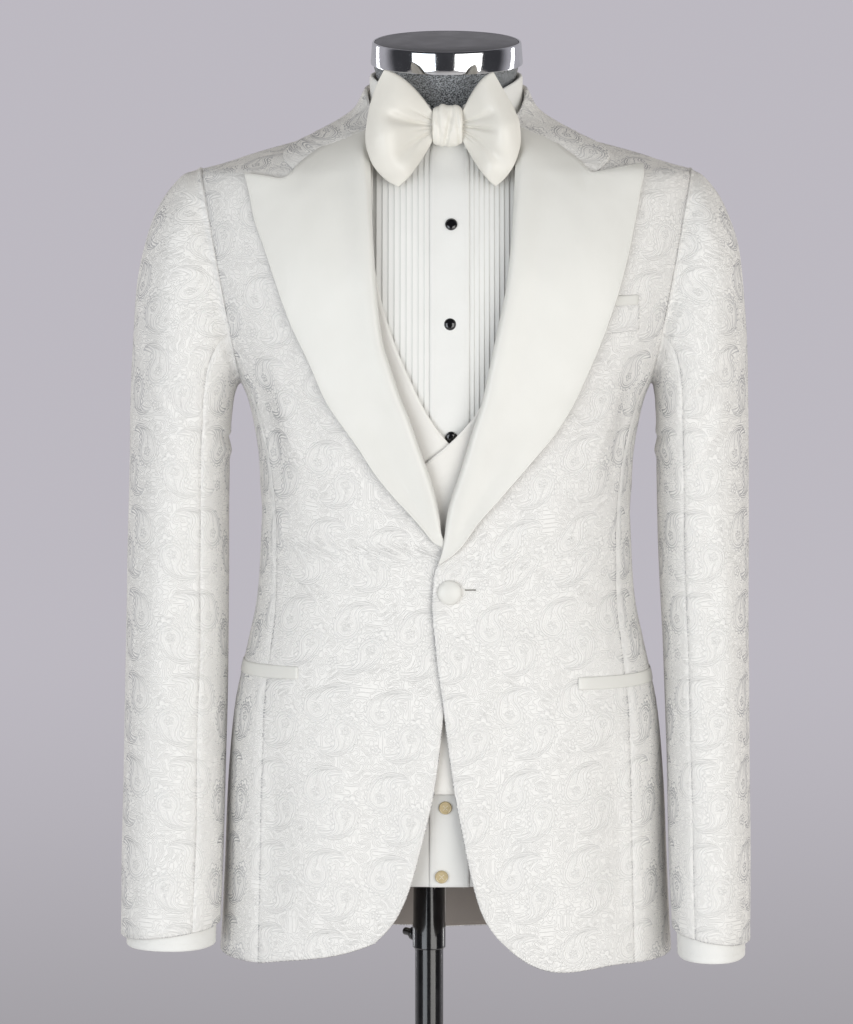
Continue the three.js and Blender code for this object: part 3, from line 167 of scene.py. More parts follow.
def clothMap(points, anchor=0):  # width and length of cloth at each point, in millimetres
    across = np.linalg.norm(np.diff(points, axis=1), axis=-1)
    along = np.linalg.norm(np.diff(points, axis=0), axis=-1)
    u = np.concatenate([np.zeros((len(points), 1)), np.cumsum(across, 1)], 1)
    v = np.concatenate([np.zeros((1, points.shape[1])), np.cumsum(along, 0)], 0)
    return np.stack([u - u[:, [anchor]], v + points[0, :, 2][None, :]], -1)


def frontArc(degrees, z):  # the way round the body from the centre front
    share = np.linspace(0, 1, 25)
    degrees, z = np.broadcast_arrays(degrees, z)
    points = onBody(jacketBody, degrees[..., None] * share, z[..., None])
    return np.linalg.norm(np.diff(points, axis=-2), axis=-1).sum(-1)


def makeObject(name, points, quads, uv, material, backMaterial=None, backFrom=None):
    used, compact = np.unique(quads[1], return_inverse=True)
    corners = compact.reshape(quads[1].shape)
    points = points[used] * metre
    a, b, c, d = (points[corners[:, i]] for i in range(4))
    volume = (a * (np.cross(b, c) + np.cross(c, d))).sum()
    order = [0, 1, 2, 3] if volume > 0 else [3, 2, 1, 0]
    mesh = bpy.data.meshes.new(name)
    mesh.vertices.add(len(points))
    mesh.vertices.foreach_set("co", points.ravel())
    mesh.loops.add(corners.size)
    mesh.loops.foreach_set("vertex_index", corners[:, order].ravel().astype(np.int32))
    mesh.polygons.add(len(corners))
    mesh.polygons.foreach_set("loop_start", np.arange(0, corners.size, 4, dtype=np.int32))
    mesh.polygons.foreach_set("use_smooth", np.ones(len(corners), bool))
    mesh.materials.append(material)
    if backMaterial:
        mesh.materials.append(backMaterial)
        inside = np.zeros(len(corners), np.int32)
        inside[backFrom[0]:backFrom[1]] = 1
        mesh.polygons.foreach_set("material_index", inside)
    mesh.update(calc_edges=True)
    layerUv = mesh.uv_layers.new(name="clothMap")
    layerUv.data.foreach_set("uv", (uv[quads[0][:, order].ravel()] * metre).ravel().astype(np.float32))
    mesh.validate()
    obj = bpy.data.objects.new(name, mesh)
    bpy.context.scene.collection.objects.link(obj)
    return obj


def clothWall(name, outer, inner, uv, material, backMaterial=None, tube=False, roundness=0.5):
    rows, columns = outer.shape[:2]
    grid = np.arange(rows * columns).reshape(rows, columns)
    count = rows * columns
    first = grid[:-1, :-1].ravel()
    front = np.stack([first, first + 1, first + columns + 1, first + columns], 1)
    back = (front + count)[:, ::-1]
    if tube:
        loops = [grid[0, :], grid[-1, ::-1]]
    else:
        loops = [np.concatenate([grid[0, :], grid[1:, -1], grid[-1, -2::-1], grid[-2:0:-1, 0], grid[0, :1]])]
    flatOuter, flatInner = outer.reshape(-1, 3), inner.reshape(-1, 3)
    points, maps, rims, start = [flatOuter, flatInner], [uv.reshape(-1, 2)] * 2, [], 2 * count
    for loop in loops:
        row, column = loop // columns, loop % columns
        inRow = np.clip(row, 1, rows - 2)
        inColumn = column if tube else np.clip(column, 1, columns - 2)
        outward = unit(flatOuter[loop] - flatOuter[inRow * columns + inColumn])
        thick = np.linalg.norm(flatOuter[loop] - flatInner[loop], axis=-1, keepdims=True)
        points.append((flatOuter[loop] + flatInner[loop]) / 2 + outward * thick * roundness)
        maps.append(uv.reshape(-1, 2)[loop])
        middle = start + np.arange(len(loop))
        rims.append(np.stack([loop[1:], loop[:-1], middle[:-1], middle[1:]], 1))
        rims.append(np.stack([middle[1:], middle[:-1], loop[:-1] + count, loop[1:] + count], 1))
        start += len(loop)
    index = np.concatenate([front, back] + rims)
    merged = np.arange(start)
    if tube:
        for base in (0, count):
            merged[base + grid[:, -1]] = base + grid[:, 0]
        merged[2 * count + columns - 1] = 2 * count
        merged[2 * count + columns] = 2 * count + 2 * columns - 1
    else:
        merged[start - 1] = 2 * count
    return makeObject(name, np.concatenate(points), (index, merged[index]), np.concatenate(maps), material,
                      backMaterial=backMaterial, backFrom=(len(front), 2 * len(front)))


def sweptSolid(name, rings, material, caps=(True, True)):  # rings of points, fanned at the ends
    rings = np.asarray(rings, float)
    rows, columns = rings.shape[:2]
    verts = [tuple(p * metre) for ring in rings for p in ring]
    faces = []
    for r in range(rows - 1):
        for c in range(columns):
            n = (c + 1) % columns
            faces.append((r * columns + c, r * columns + n, (r + 1) * columns + n, (r + 1) * columns + c))
    if caps[0]:
        faces.append(tuple(reversed(range(columns))))
    if caps[1]:
        faces.append(tuple(range((rows - 1) * columns, rows * columns)))
    mesh = bpy.data.meshes.new(name)
    mesh.from_pydata(verts, [], faces)
    mesh.materials.append(material)
    mesh.polygons.foreach_set("use_smooth", np.ones(len(mesh.polygons), bool))
    return finishSolid(name, mesh)


def finishSolid(name, mesh, sharp=35):
    work = bmesh.new()
    work.from_mesh(mesh)
    bmesh.ops.remove_doubles(work, verts=work.verts, dist=1e-7)
    bmesh.ops.recalc_face_normals(work, faces=work.faces)
    work.to_mesh(mesh)
    work.free()
    mesh.set_sharp_from_angle(angle=math.radians(sharp))
    obj = bpy.data.objects.new(name, mesh)
    bpy.context.scene.collection.objects.link(obj)
    return obj


# A profile of radius and height, spun round Z
def turned(name, profile, material, segments=64, place=None, flat=1.0):
    verts, faces, rings = [], [], []
    for radius, height in profile:
        if radius < 1e-6:
            rings.append([len(verts)])
            verts.append((0, 0, height))
        else:
            rings.append(list(range(len(verts), len(verts) + segments)))
            for i in range(segments):
                angle = 2 * math.pi * i / segments
                verts.append((radius * math.cos(angle), radius * math.sin(angle) * flat, height))
    for a, b in zip(rings[:-1], rings[1:]):
        for i in range(segments):
            j = (i + 1) % segments
            if len(a) == 1 and len(b) == 1:
                continue
            if len(a) == 1:
                faces.append((a[0], b[i], b[j]))
            elif len(b) == 1:
                faces.append((a[i], a[j], b[0]))
            else:
                faces.append((a[i], a[j], b[j], b[i]))
    mesh = bpy.data.meshes.new(name)
    mesh.from_pydata([tuple(np.array(v) * metre) for v in verts], [], faces)
    mesh.materials.append(material)
    mesh.polygons.foreach_set("use_smooth", np.ones(len(mesh.polygons), bool))
    if place:
        mesh.transform(place)
    return finishSolid(name, mesh)


def folds(a, b, rows):  # soft troughs and ridges along short bowed lines on a panel
    total = np.zeros(np.broadcast(a, b).shape)
    for a0, b0, a1, b1, width, depth, bow in rows:
        along = np.array([a1 - a0, b1 - b0], float)
        length = np.hypot(*along)
        along /= length
        t = ((a - a0) * along[0] + (b - b0) * along[1]) / length
        off = -(a - a0) * along[1] + (b - b0) * along[0] - bow * 4 * t * (1 - t)
        inside = np.clip(t, 0, 1)
        fade = np.sin(np.pi * inside) ** 0.8 * np.exp(-(((t - inside) * length / width) ** 2))
        spread = width * (0.7 + 0.6 * inside)
        profile = np.exp(-((off / spread) ** 2)) - 0.4 * np.exp(-(((np.abs(off) - 1.9 * spread)
                                                                   / spread) ** 2))
        total = total + depth * fade * profile
    return total


def ripple(a, b, size, seed):  # slow unevenness of pressed cloth
    generator = np.random.default_rng(seed)
    total = 0
    for _ in range(7):
        direction = generator.uniform(0, 2 * np.pi)
        wave = generator.uniform(0.6, 1.7) * 2 * np.pi / size
        total = total + np.sin((a * np.cos(direction) + b * np.sin(direction)) * wave + generator.uniform(0,
            6.28))
    return total / 7


# Materials
class Field:  # a number that a shader works out at each point
    def __init__(self, tree, socket):
        self.tree, self.socket = tree, socket

    def op(self, operation, *others, clamp=False):
        node = self.tree.nodes.new("ShaderNodeMath")
        node.operation = operation
        node.use_clamp = clamp
        for i, value in enumerate((self, *others)):
            if isinstance(value, Field):
                self.tree.links.new(value.socket, node.inputs[i])
            else:
                node.inputs[i].default_value = value
        return Field(self.tree, node.outputs[0])

    def __add__(self, other):
        return self.op("ADD", other)

    def __sub__(self, other):
        return self.op("SUBTRACT", other)

    def __mul__(self, other):
        return self.op("MULTIPLY", other)

    def abs(self):
        return self.op("ABSOLUTE")

    def wrap(self, size):
        return self.op("WRAP", size / 2, -size / 2)

    def larger(self, other):
        return self.op("MAXIMUM", other)

    def smaller(self, other):
        return self.op("MINIMUM", other)

    def ramp(self, start, end, low=0.0, high=1.0):
        node = self.tree.nodes.new("ShaderNodeMapRange")
        node.interpolation_type = "SMOOTHSTEP"
        self.tree.links.new(self.socket, node.inputs["Value"])
        for name, value in (("From Min", start), ("From Max", end), ("To Min", low), ("To Max", high)):
            node.inputs[name].default_value = value
        return Field(self.tree, node.outputs["Result"])

    def line(self, at, half, soft=0.45):  # 1 on a contour, 0 away from it
        return (self - at).abs().ramp(half, half + soft, 1, 0)


def length2(a, b):
    return (a * a + b * b).op("SQRT")


def newMaterial(name):
    material = bpy.data.materials.new(name)
    material.use_nodes = True
    tree = material.node_tree
    return material, tree, tree.nodes["Principled BSDF"]


def mapAxes(tree, useUv=True):  # millimetre coordinates, on the cloth or in space
    coordinates = tree.nodes.new("ShaderNodeTexCoord")
    scale = tree.nodes.new("ShaderNodeMapping")
    scale.inputs["Scale"].default_value = (1000, 1000, 1000)
    tree.links.new(coordinates.outputs["UV" if useUv else "Object"], scale.inputs["Vector"])
    split = tree.nodes.new("ShaderNodeSeparateXYZ")
    tree.links.new(scale.outputs["Vector"], split.inputs["Vector"])
    return scale.outputs["Vector"], [Field(tree, split.outputs[i]) for i in range(3)]


def noiseField(tree, vector, scale, detail=2.0, roughness=0.5, stretch=(1, 1, 1)):
    mapping = tree.nodes.new("ShaderNodeMapping")
    mapping.inputs["Scale"].default_value = stretch
    tree.links.new(vector, mapping.inputs["Vector"])
    noise = tree.nodes.new("ShaderNodeTexNoise")
    noise.inputs["Scale"].default_value = scale
    noise.inputs["Detail"].default_value = detail
    noise.inputs["Roughness"].default_value = roughness
    tree.links.new(mapping.outputs["Vector"], noise.inputs["Vector"])
    return Field(tree, noise.outputs["Fac"])


def addBump(tree, shader, height, distance, strength=1.0):
    bump = tree.nodes.new("ShaderNodeBump")
    bump.inputs["Strength"].default_value = strength
    bump.inputs["Distance"].default_value = distance
    tree.links.new(height.socket, bump.inputs["Height"])
    tree.links.new(bump.outputs["Normal"], shader.inputs["Normal"])


def addColour(tree, shader, factor, low, high):
    blend = tree.nodes.new("ShaderNodeMix")
    blend.data_type = "RGBA"
    tree.links.new(factor.socket, blend.inputs["Factor"])
    blend.inputs["A"].default_value = (*low, 1)
    blend.inputs["B"].default_value = (*high, 1)
    tree.links.new(blend.outputs["Result"], shader.inputs["Base Color"])


# the grazing colour is a painted reflection: the jacquard cords darken to it at grazing view angles
jacquardLook = {
    "ground": (0.84, 0.825, 0.795), "figure": (0.785, 0.775, 0.75), "paintedGrazingReflection": (0.29, 0.29, 0.31),
    "tileWide": 56.0,
    "tileTall": 71.0, "groundRoughness": 0.6, "figureRoughness": 0.4, "relief": 0.00036, "sheen": 0.15,
}


# A bent drop: a double outline, a rim of petals and a flower in its head
def paisleyRelief(x, y, radius, tall):
    reach = length2(x, y)
    turn = (reach - radius).op("MAXIMUM", 0) * 0.05
    cos, sin = turn.op("COSINE"), turn.op("SINE")
    bentX, bentY = x * cos - y * sin, x * sin + y * cos
    slope = (radius - 0.8) / tall
    sideways = bentX.abs()
    rise = (bentY - sideways * (slope / math.sqrt(1 - slope * slope))).op("MAXIMUM", 0).op("MINIMUM", tall)
    distance = length2(sideways, bentY - rise) - (rise * -slope + radius)
    angle = bentY.op("ARCTAN2", bentX)
    outline = distance.line(0, 0.4, 0.4).larger(distance.line(-2.3, 0.3, 0.4)).larger(distance.line(-4.2,
        0.15, 0.4) * 0.5)
    petals = (distance - (angle * 8).op("SINE").abs() * 1.9).line(1.1, 0.3, 0.4)
    core = length2(bentX, bentY + 0.8)
    flower = (core - (angle * 2.5).op("SINE").abs() * 2.0).line(1.9, 0.35,
                                                                0.4).larger(core.ramp(0.7, 1.2, 1, 0))
    stem = (bentX + (bentY * 0.45).op("SINE") * 0.9).line(0, 0.25, 0.4) * bentY.ramp(4.5,
        5.5) * distance.ramp(-2.2, -3.0)
    return outline.larger(petals).larger(flower).larger(stem), distance


def sprig(x, y, size):  # a small round flower with an open centre
    reach = length2(x, y)
    lobes = (y.op("ARCTAN2", x) * 2.5).op("COSINE").abs() * size * 0.42
    return (reach - lobes).line(size * 0.62, 0.32, 0.4).larger(reach.line(size * 0.3, 0.28,
                                                                          0.4)), reach - lobes


def jacquard():
    material, tree, shader = newMaterial("paisley_jacquard")
    vector, (u, v, _) = mapAxes(tree)
    wide, tall = jacquardLook["tileWide"], jacquardLook["tileTall"]
    shiftedU, shiftedV = u + wide / 2, v + tall / 2
    first, firstEdge = paisleyRelief(u.wrap(wide), (v + 9).wrap(tall), 11.6, 28.0)
    second, secondEdge = paisleyRelief((shiftedU + 2).wrap(wide) * -1, (shiftedV - 8).wrap(tall) * -1, 10.6,
                                       26.5)
    bloom, bloomEdge = sprig((shiftedU - 3).wrap(wide), (v + 16).wrap(tall), 6.8)
    bud, budEdge = sprig((u + 4).wrap(wide), (v - 31).wrap(tall), 4.2)
    scroll = ((noiseField(tree, vector, 0.13, 0.0) * 31).op("SINE")).line(0, 0.2, 0.34)
    outside = firstEdge.smaller(secondEdge)
    free = outside.ramp(3.4, 4.2) * bloomEdge.ramp(4.6, 5.4) * budEdge.ramp(3.0, 3.8)
    ground = scroll * free.larger(outside.ramp(-4.6, -5.6) * 0.7)
    figures = first.larger(second).larger(bloom).larger(bud)
    relief = figures.larger(ground * 0.75)
    tint = (figures * 0.85).larger(ground * 0.55)
    weave = (u * 6.0 + v * 6.0).op("SINE") * 0.03 + noiseField(tree, vector, 0.9, 1.0) * 0.06
    addBump(tree, shader, relief + weave, jacquardLook["relief"])
    # painted reflection: the cord colour darkens to grey at grazing view angles, standing in for the glossy
    # cords mirroring the dark studio
    paintedGrazingReflection = tree.nodes.new("ShaderNodeLayerWeight")
    paintedGrazingReflection.inputs["Blend"].default_value = 0.5
    edgeOn = Field(tree, paintedGrazingReflection.outputs["Facing"]).ramp(0.22, 0.72)
    cord = tree.nodes.new("ShaderNodeMix")
    cord.data_type = "RGBA"
    tree.links.new(edgeOn.socket, cord.inputs["Factor"])
    cord.inputs["A"].default_value = (*jacquardLook["figure"], 1)
    cord.inputs["B"].default_value = (*jacquardLook["paintedGrazingReflection"], 1)
    cloth = tree.nodes.new("ShaderNodeMix")
    cloth.data_type = "RGBA"
    tree.links.new(tint.socket, cloth.inputs["Factor"])
    cloth.inputs["A"].default_value = (*jacquardLook["ground"], 1)
    tree.links.new(cord.outputs["Result"], cloth.inputs["B"])
    tree.links.new(cloth.outputs["Result"], shader.inputs["Base Color"])
    gloss = relief.ramp(0, 1, jacquardLook["groundRoughness"], jacquardLook["figureRoughness"])
    tree.links.new(gloss.socket, shader.inputs["Roughness"])
    shader.inputs["Sheen Weight"].default_value = jacquardLook["sheen"]
    shader.inputs["Sheen Roughness"].default_value = 0.45
    shader.inputs["Specular IOR Level"].default_value = 0.4
    return material


def wovenCloth(name, low, high, roughness, relief, threads, sheen=0.15, specular=0.4, nap=0.3):
    material, tree, shader = newMaterial(name)
    vector, (u, v, _) = mapAxes(tree)
    warp = (u * threads).op("SINE") * (v * threads).op("SINE")
    cloud = noiseField(tree, vector, 0.03, 3.0)
    slub = noiseField(tree, vector, 1.1, 2.0, 0.6, (1, 0.25, 1))
    addBump(tree, shader, warp * 0.3 + slub * nap, relief)
    addColour(tree, shader, (cloud * 0.7 + slub * 0.3).ramp(0.25, 0.75), low, high)
    shader.inputs["Roughness"].default_value = roughness
    shader.inputs["Sheen Weight"].default_value = sheen
    shader.inputs["Sheen Roughness"].default_value = 0.4
    shader.inputs["Specular IOR Level"].default_value = specular
    return material


def satin(name, low, high, roughness=0.34, sheen=0.2):
    material, tree, shader = newMaterial(name)
    vector, _ = mapAxes(tree)
    slub = noiseField(tree, vector, 2.4, 2.0, 0.6, (1, 0.08, 1))
    cloud = noiseField(tree, vector, 0.022, 2.0)
    soft = noiseField(tree, vector, 0.045, 2.0, 0.5, (1, 0.45, 1))
    addBump(tree, shader, slub * 0.16 + soft * 1.6, 0.00035)
    addColour(tree, shader, (cloud * 0.75 + slub * 0.25).ramp(0.3, 0.7), low, high)
    rough = slub.ramp(0.3, 0.7, roughness - 0.05, roughness + 0.07)
    tree.links.new(rough.socket, shader.inputs["Roughness"])
    shader.inputs["Sheen Weight"].default_value = sheen
    shader.inputs["Sheen Roughness"].default_value = 0.3
    shader.inputs["Specular IOR Level"].default_value = 0.55
    shader.inputs["Anisotropic"].default_value = 0.45
    return material


def plainSolid(name, colour, roughness, metallic=0.0, grain=0.4, coat=0.0, relief=0.00002):
    material, tree, shader = newMaterial(name)
    vector, _ = mapAxes(tree, useUv=False)
    cloud = noiseField(tree, vector, 0.08, 3.0)
    tint = tuple(min(c * 1.15 + 0.002, 1) for c in colour)
    addColour(tree, shader, cloud.ramp(0.3, 0.7), colour, tint)
    rough = cloud.ramp(0.2, 0.8, roughness * 0.88, roughness * (1 + grain))
    tree.links.new(rough.socket, shader.inputs["Roughness"])
    addBump(tree, shader, noiseField(tree, vector, 0.6, 3.0), relief)
    shader.inputs["Metallic"].default_value = metallic
    shader.inputs["Coat Weight"].default_value = coat
    shader.inputs["Coat Roughness"].default_value = 0.05
    return material


def speckledCover(name):
    material, tree, shader = newMaterial(name)
    vector, _ = mapAxes(tree, useUv=False)
    grain = noiseField(tree, vector, 1.0, 3.0, 0.75)
    thread = noiseField(tree, vector, 0.9, 2.0, 0.7, (1, 1, 1.6))
    fleck = (grain * 0.6 + thread * 0.4).ramp(0.44, 0.57)
    addColour(tree, shader, fleck, (0.010, 0.011, 0.013), (0.40, 0.42, 0.44))
    addBump(tree, shader, grain, 0.0006)
    shader.inputs["Roughness"].default_value = 0.85
    shader.inputs["Sheen Weight"].default_value = 0.2
    return material


looks = {
    "jacquard": jacquard(),
    "satin": satin("ivory_satin", (0.735, 0.725, 0.68), (0.765, 0.755, 0.71)),
    "bowSatin": satin("bow_satin", (0.76, 0.735, 0.67), (0.79, 0.765, 0.70), 0.36, 0.2),
    # painted shade: the inside faces of the jacket get a dark taupe lining colour so that they read as shaded
    "paintedShadeLining": satin("jacket_inside_painted_shade", (0.30, 0.262, 0.232), (0.335, 0.292, 0.26), 0.5, 0.05),
    "waistcoat": wovenCloth("waistcoat_cloth", (0.81, 0.79, 0.745), (0.84, 0.82, 0.775), 0.75, 0.00014, 5.2),
    "cotton": wovenCloth("shirt_poplin", (0.79, 0.785, 0.755), (0.82, 0.815, 0.785), 0.82, 0.00008, 7.5),
    "stone": plainSolid("black_stone", (0.004, 0.004, 0.005), 0.06, coat=1.0),
    "pearl": plainSolid("pearl_button", (0.52, 0.42, 0.24), 0.25, coat=0.6),
    "cover": speckledCover("speckled_cover"),
    "chrome": plainSolid("cap_chrome", (0.72, 0.73, 0.75), 0.07, 1.0, 0.3),
    "steel": plainSolid("cap_steel", (0.36, 0.36, 0.37), 0.42, 0.9, 0.3),
    "enamel": plainSolid("black_enamel", (0.006, 0.006, 0.007), 0.16, 0.0, 0.5, 0.8),
    "thread": wovenCloth("ivory_thread", (0.80, 0.79, 0.75), (0.84, 0.83, 0.79), 0.6, 0.00005, 9.0),
    # painted shade: a dark brown sheet stands in for the shade inside the buttonhole slit
    "slitShade": plainSolid("buttonhole_painted_shade", (0.20, 0.19, 0.17), 0.9),
}
print("materials made:", len(looks))

threadPaths = []


def place(obj, nodes, slotName, body="form", cut=None, held="hung", restsOn=()):
    if cut is not None:
        across = np.linalg.norm(np.diff(cut, axis=1), axis=-1)
        along = np.linalg.norm(np.diff(cut, axis=0), axis=-1)
        width, length = across.sum(1).max() * metre, along.sum(0).max() * metre
        u = np.cross(cut[1:, :-1] - cut[:-1, :-1], cut[:-1, 1:] - cut[:-1, :-1])
        w = np.cross(cut[1:, 1:] - cut[:-1, 1:], cut[1:, 1:] - cut[1:, :-1])
        area = (np.linalg.norm(u, axis=-1).sum() + np.linalg.norm(w, axis=-1).sum()) / 2 * metre**2
        flat = tuple(max(round(float(size), 3), 0.01) for size in (width, length))
        area = round(float(np.clip(area, 0.31 * flat[0] * flat[1], 0.995 * flat[0] * flat[1])), 6)
    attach(obj, body)
    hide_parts(*nodes)
    return obj


def edgePath(outer, inner, edge, inset, span=(0.0, 1.0)):  # a sewing line along one edge of a panel
    line, inside = {
        "start": (outer[:, 0], outer[:, 1]), "end": (outer[:, -1], outer[:, -2]),
        "bottom": (outer[0], outer[1]), "top": (outer[-1], outer[-2]),
    }[edge]
    back = {"start": inner[:, 0], "end": inner[:, -1], "bottom": inner[0], "top": inner[-1]}[edge]
    path = line + unit(inside - line) * inset + unit(line - back) * 0.12
    count = len(path)
    threadPaths.append(path[int(span[0] * (count - 1)):int(span[1] * (count - 1)) + 1])


# Jacket
seamColumns = ["z", "front", "back"]
jacket = {
    "seamLevels": [829, 880, 940, 1000, 1060, 1110, 1155, 1190, 1225, 1265, 1308, 1352],
    "seamMeet": 1352, "backHemDrop": 6, "spacing": 4.2,
    "armhole": {"topX": 209.5, "topZ": 1505, "slope": 0.183},
    "hemDrop": {1: 13, -1: 4},
}
sideSeams = table(seamColumns, [
    [812, 64, 114], [1000, 64, 114], [1100, 66, 113], [1215, 69, 111], [1300, 74, 106], [1352, 77.5, 103.2],
])
edgeColumns = ["z", "x"]
frontEdge = {
    1: table(edgeColumns, [
        [846, 55], [859, 42.2], [878, 31], [903, 23.4], [948, 14.1], [986, 7.1], [1023, 2.1], [1054, -1.6],
        [1085, -6], [1114, -9.2], [1140, -11.3], [1164, -10], [1187, -3.4], [1220, 2.7], [1263, 16.4],
        [1289, 24], [1318, 33], [1348, 39.5], [1379, 46], [1408, 52], [1455, 57.3], [1511, 60.8],
        [1538, 62.5],
    ]),
    -1: table(edgeColumns, [
        [853, -61], [862, -52], [876, -42], [899, -32.2], [939, -21.1], [980, -11.8], [1004, -8.1],
        [1054, -2],
        [1075, 5], [1110, 12], [1150, 15], [1178, 11], [1192, 1], [1203, -4.6], [1213, -6], [1241, -13],
        [1270, -23], [1299, -33], [1323, -42.4], [1343, -49], [1367, -56], [1408, -61], [1450, -64],
        [1503, -66.5], [1534, -68],
    ]),
}
sideName = {1: "left", -1: "right"}
frontFolds = {  # from across, from up, to across, to up, width, depth, bow
    -1: [
        (-22, 1151, -118, 1176, 11, -2.0, 5), (-24, 1141, -112, 1112, 12, -1.6, -5),
        (-26, 1168, -92, 1236, 10, 1.3, 4),
        (-30, 1128, -84, 1046, 13, 1.2, -6), (-165, 1352, -146, 1222, 10, -2.4, 6),
        (-150, 1330, -128, 1250, 10, 1.4, 4),
        (-96, 1046, -112, 858, 24, 2.2, 6), (-146, 1040, -160, 846, 18, -2.2, -4),
        (-60, 1010, -66, 868, 18, -1.4, 4),
        (-118, 1420, -96, 1320, 14, 1.3, -5),
    ],
    1: [
        (34, 1151, 122, 1180, 11, -2.0, -5), (30, 1140, 118, 1108, 12, -1.7, 5),
        (34, 1168, 104, 1244, 10, 1.3, -4),
        (36, 1124, 92, 1040, 14, 1.3, 6), (166, 1356, 146, 1226, 10, -2.4, -6),
        (152, 1326, 130, 1246, 10, 1.4, -4),
        (86, 1040, 104, 852, 25, 2.3, -6), (140, 1036, 156, 842, 18, -2.2, 5),
        (50, 980, 58, 880, 16, -1.3, -4),
    ],
}
backFolds = [
    (-14, 1232, -112, 1222, 12, -1.9, 7), (14, 1228, 116, 1220, 12, -1.9, -6),
    (-24, 1202, -96, 1168, 12, 1.4, 5),
    (22, 1206, 98, 1166, 12, 1.5, -5), (-122, 1442, -104, 1318, 14, -1.9, 6),
    (120, 1446, 106, 1310, 15, -2.0, -6),
    (-70, 1040, -78, 858, 26, 2.2, 5), (74, 1046, 82, 862, 24, 2.1, -5), (-130, 1010, -142, 852, 18, -1.8, 4),
    (128, 1008, 140, 850, 18, -1.7, -4), (-40, 1470, 44, 1476, 14, -1.5, 9),
    (-84, 1398, -70, 1330, 12, 1.2, 3),
]
sideFolds = [(0, 1330, 4, 1236, 9, -1.6, 3), (-12, 1262, 20, 1208, 9, 1.2, -3), (2, 1040, 4, 850, 16, 1.6, 4)]


def planeX(plane, z):
    return plane["topX"] - (plane["topZ"] - z) * plane["slope"]


def planeDepth(body, plane, z, isFront):
    side, front, back, power = sectionAt(body, z)
    share = np.minimum(planeX(plane, z) / side, 1)
    return np.where(isFront, front, back) * (1 - share**power) ** (1 / power)


def planeAngle(body, plane, z, isFront):
    angle = np.degrees(np.arctan2(planeX(plane, z), planeDepth(body, plane, z, isFront)))
    return np.where(isFront, angle, 180 - angle)


def planeEnd(body, plane, inside, outside):
    for _ in range(40):
        middle = (inside + outside) / 2
        if planeX(plane, middle) < sectionAt(body, middle)[0]:
            inside = middle
        else:
            outside = middle
    return inside


armhole = jacket["armhole"]
armholeTop = planeEnd(jacketBody, armhole, 1450, 1507)
armholeBottom = planeEnd(jacketBody, armhole, 1400, 1300)


def sideAngle(column, z):
    isFront = column == "front"
    plane = planeAngle(jacketBody, armhole, np.clip(z, jacket["seamMeet"], armholeTop), isFront)
    joined = mix(curveAt(sideSeams, "z", column, z), plane, ease(jacket["seamMeet"] - 12,
                                                                 jacket["seamMeet"] + 36, z))
    return np.where(z < armholeTop, joined, 90)


def jacketLift(side, x, z):  # the left front laps over the right one near the centre
    if side < 0:
        return np.zeros(np.broadcast(x, z).shape)
    return 2.7 * (1 - ease(26, 70, x)) * ease(1012, 1048, z) * (1 - ease(1212, 1262, z))


def jacketPoint(side, degrees, z, distance):
    x = onBody(jacketBody, degrees, z)[..., 0]
    return offBody(jacketBody, degrees, z, distance + jacketLift(side, x, z))


def seamDip(points, axis):  # cloth sinks a little into its seams
    step = np.linalg.norm(np.diff(points, axis=axis), axis=-1)
    zero = np.zeros_like(step[:, :1]) if axis == 1 else np.zeros_like(step[:1])
    fromStart = np.concatenate([zero, np.cumsum(step, axis)], axis)
    last = fromStart[:, -1:] if axis == 1 else fromStart[-1:]
    return fromStart, last - fromStart


def dipNear(distance, reach=3.2, depth=0.4):
    return -depth * np.exp(-((distance / reach) ** 2))


def panelWalls(side, degrees, z, lift, thick=None):
    thick = wall["jacket"] if thick is None else thick
    return jacketPoint(side, degrees, z, lift), jacketPoint(side, degrees, z, lift - thick)


def makeFront(side):
    heights = fine([*jacket["seamLevels"], 1400, 1450, 1485, armholeTop, 1514, 1526, 1536, 1545],
                   jacket["spacing"])
    z = heights[:, None]
    edge = frontEdge[side]
    edgeZ = np.clip(z, edge["z"][0], edge["z"][-1])
    start = angleAcross(jacketBody, curveAt(edge, "z", "x", edgeZ), edgeZ)
    gap = math.degrees(seamGap / 2 / 160)
    end = side * (sideAngle("front", z) - gap)
    share = np.linspace(0, 1, 58)[None, :]
    row = np.interp(z, jacket["seamLevels"][:5], range(5))
    sag = jacket["hemDrop"][side] * (27 / 4) * share * (1 - share) ** 2 * (1 - ease(0, 4, row))
    degrees = mix(start, end, share**0.9)
    level = mix(edgeZ, z, share) - sag
    flat = jacketPoint(side, degrees, level, 0)
    _, fromSeam = seamDip(flat, 1)
    lift = folds(flat[..., 0], flat[..., 2], frontFolds[side]) + 0.8 * ripple(flat[..., 0], flat[..., 2],
                                                                              150, 4 + side)
    fromEdge = np.linalg.norm(flat - flat[:, :1], axis=-1)
    lift = lift * ease(0, 22, fromEdge) * ease(-3, 16, fromSeam) + dipNear(fromSeam)
    if side > 0:
        lift = lift + 1.7 * (1 - ease(0, 30, fromEdge)) * ease(1030, 1090,
                                                               level) * (1 - ease(1180, 1240, level))
    outer, inner = panelWalls(side, degrees, level, lift)
    uv = clothMap(outer)
    uv[..., 0] = side * (uv[..., 0] + frontArc(degrees[:, :1], level[:, :1]))
    obj = clothWall(f"front_{sideName[side]}", outer, inner, uv, looks["jacquard"], looks["paintedShadeLining"])
    edgePath(outer, inner, "start", 2.2, (0.0, 0.5))
    edgePath(outer, inner, "bottom", 2.2)
    return place(obj, [f"jacket_front_{sideName[side]}"], "jacquard", cut=outer, restsOn=["form_torso"])


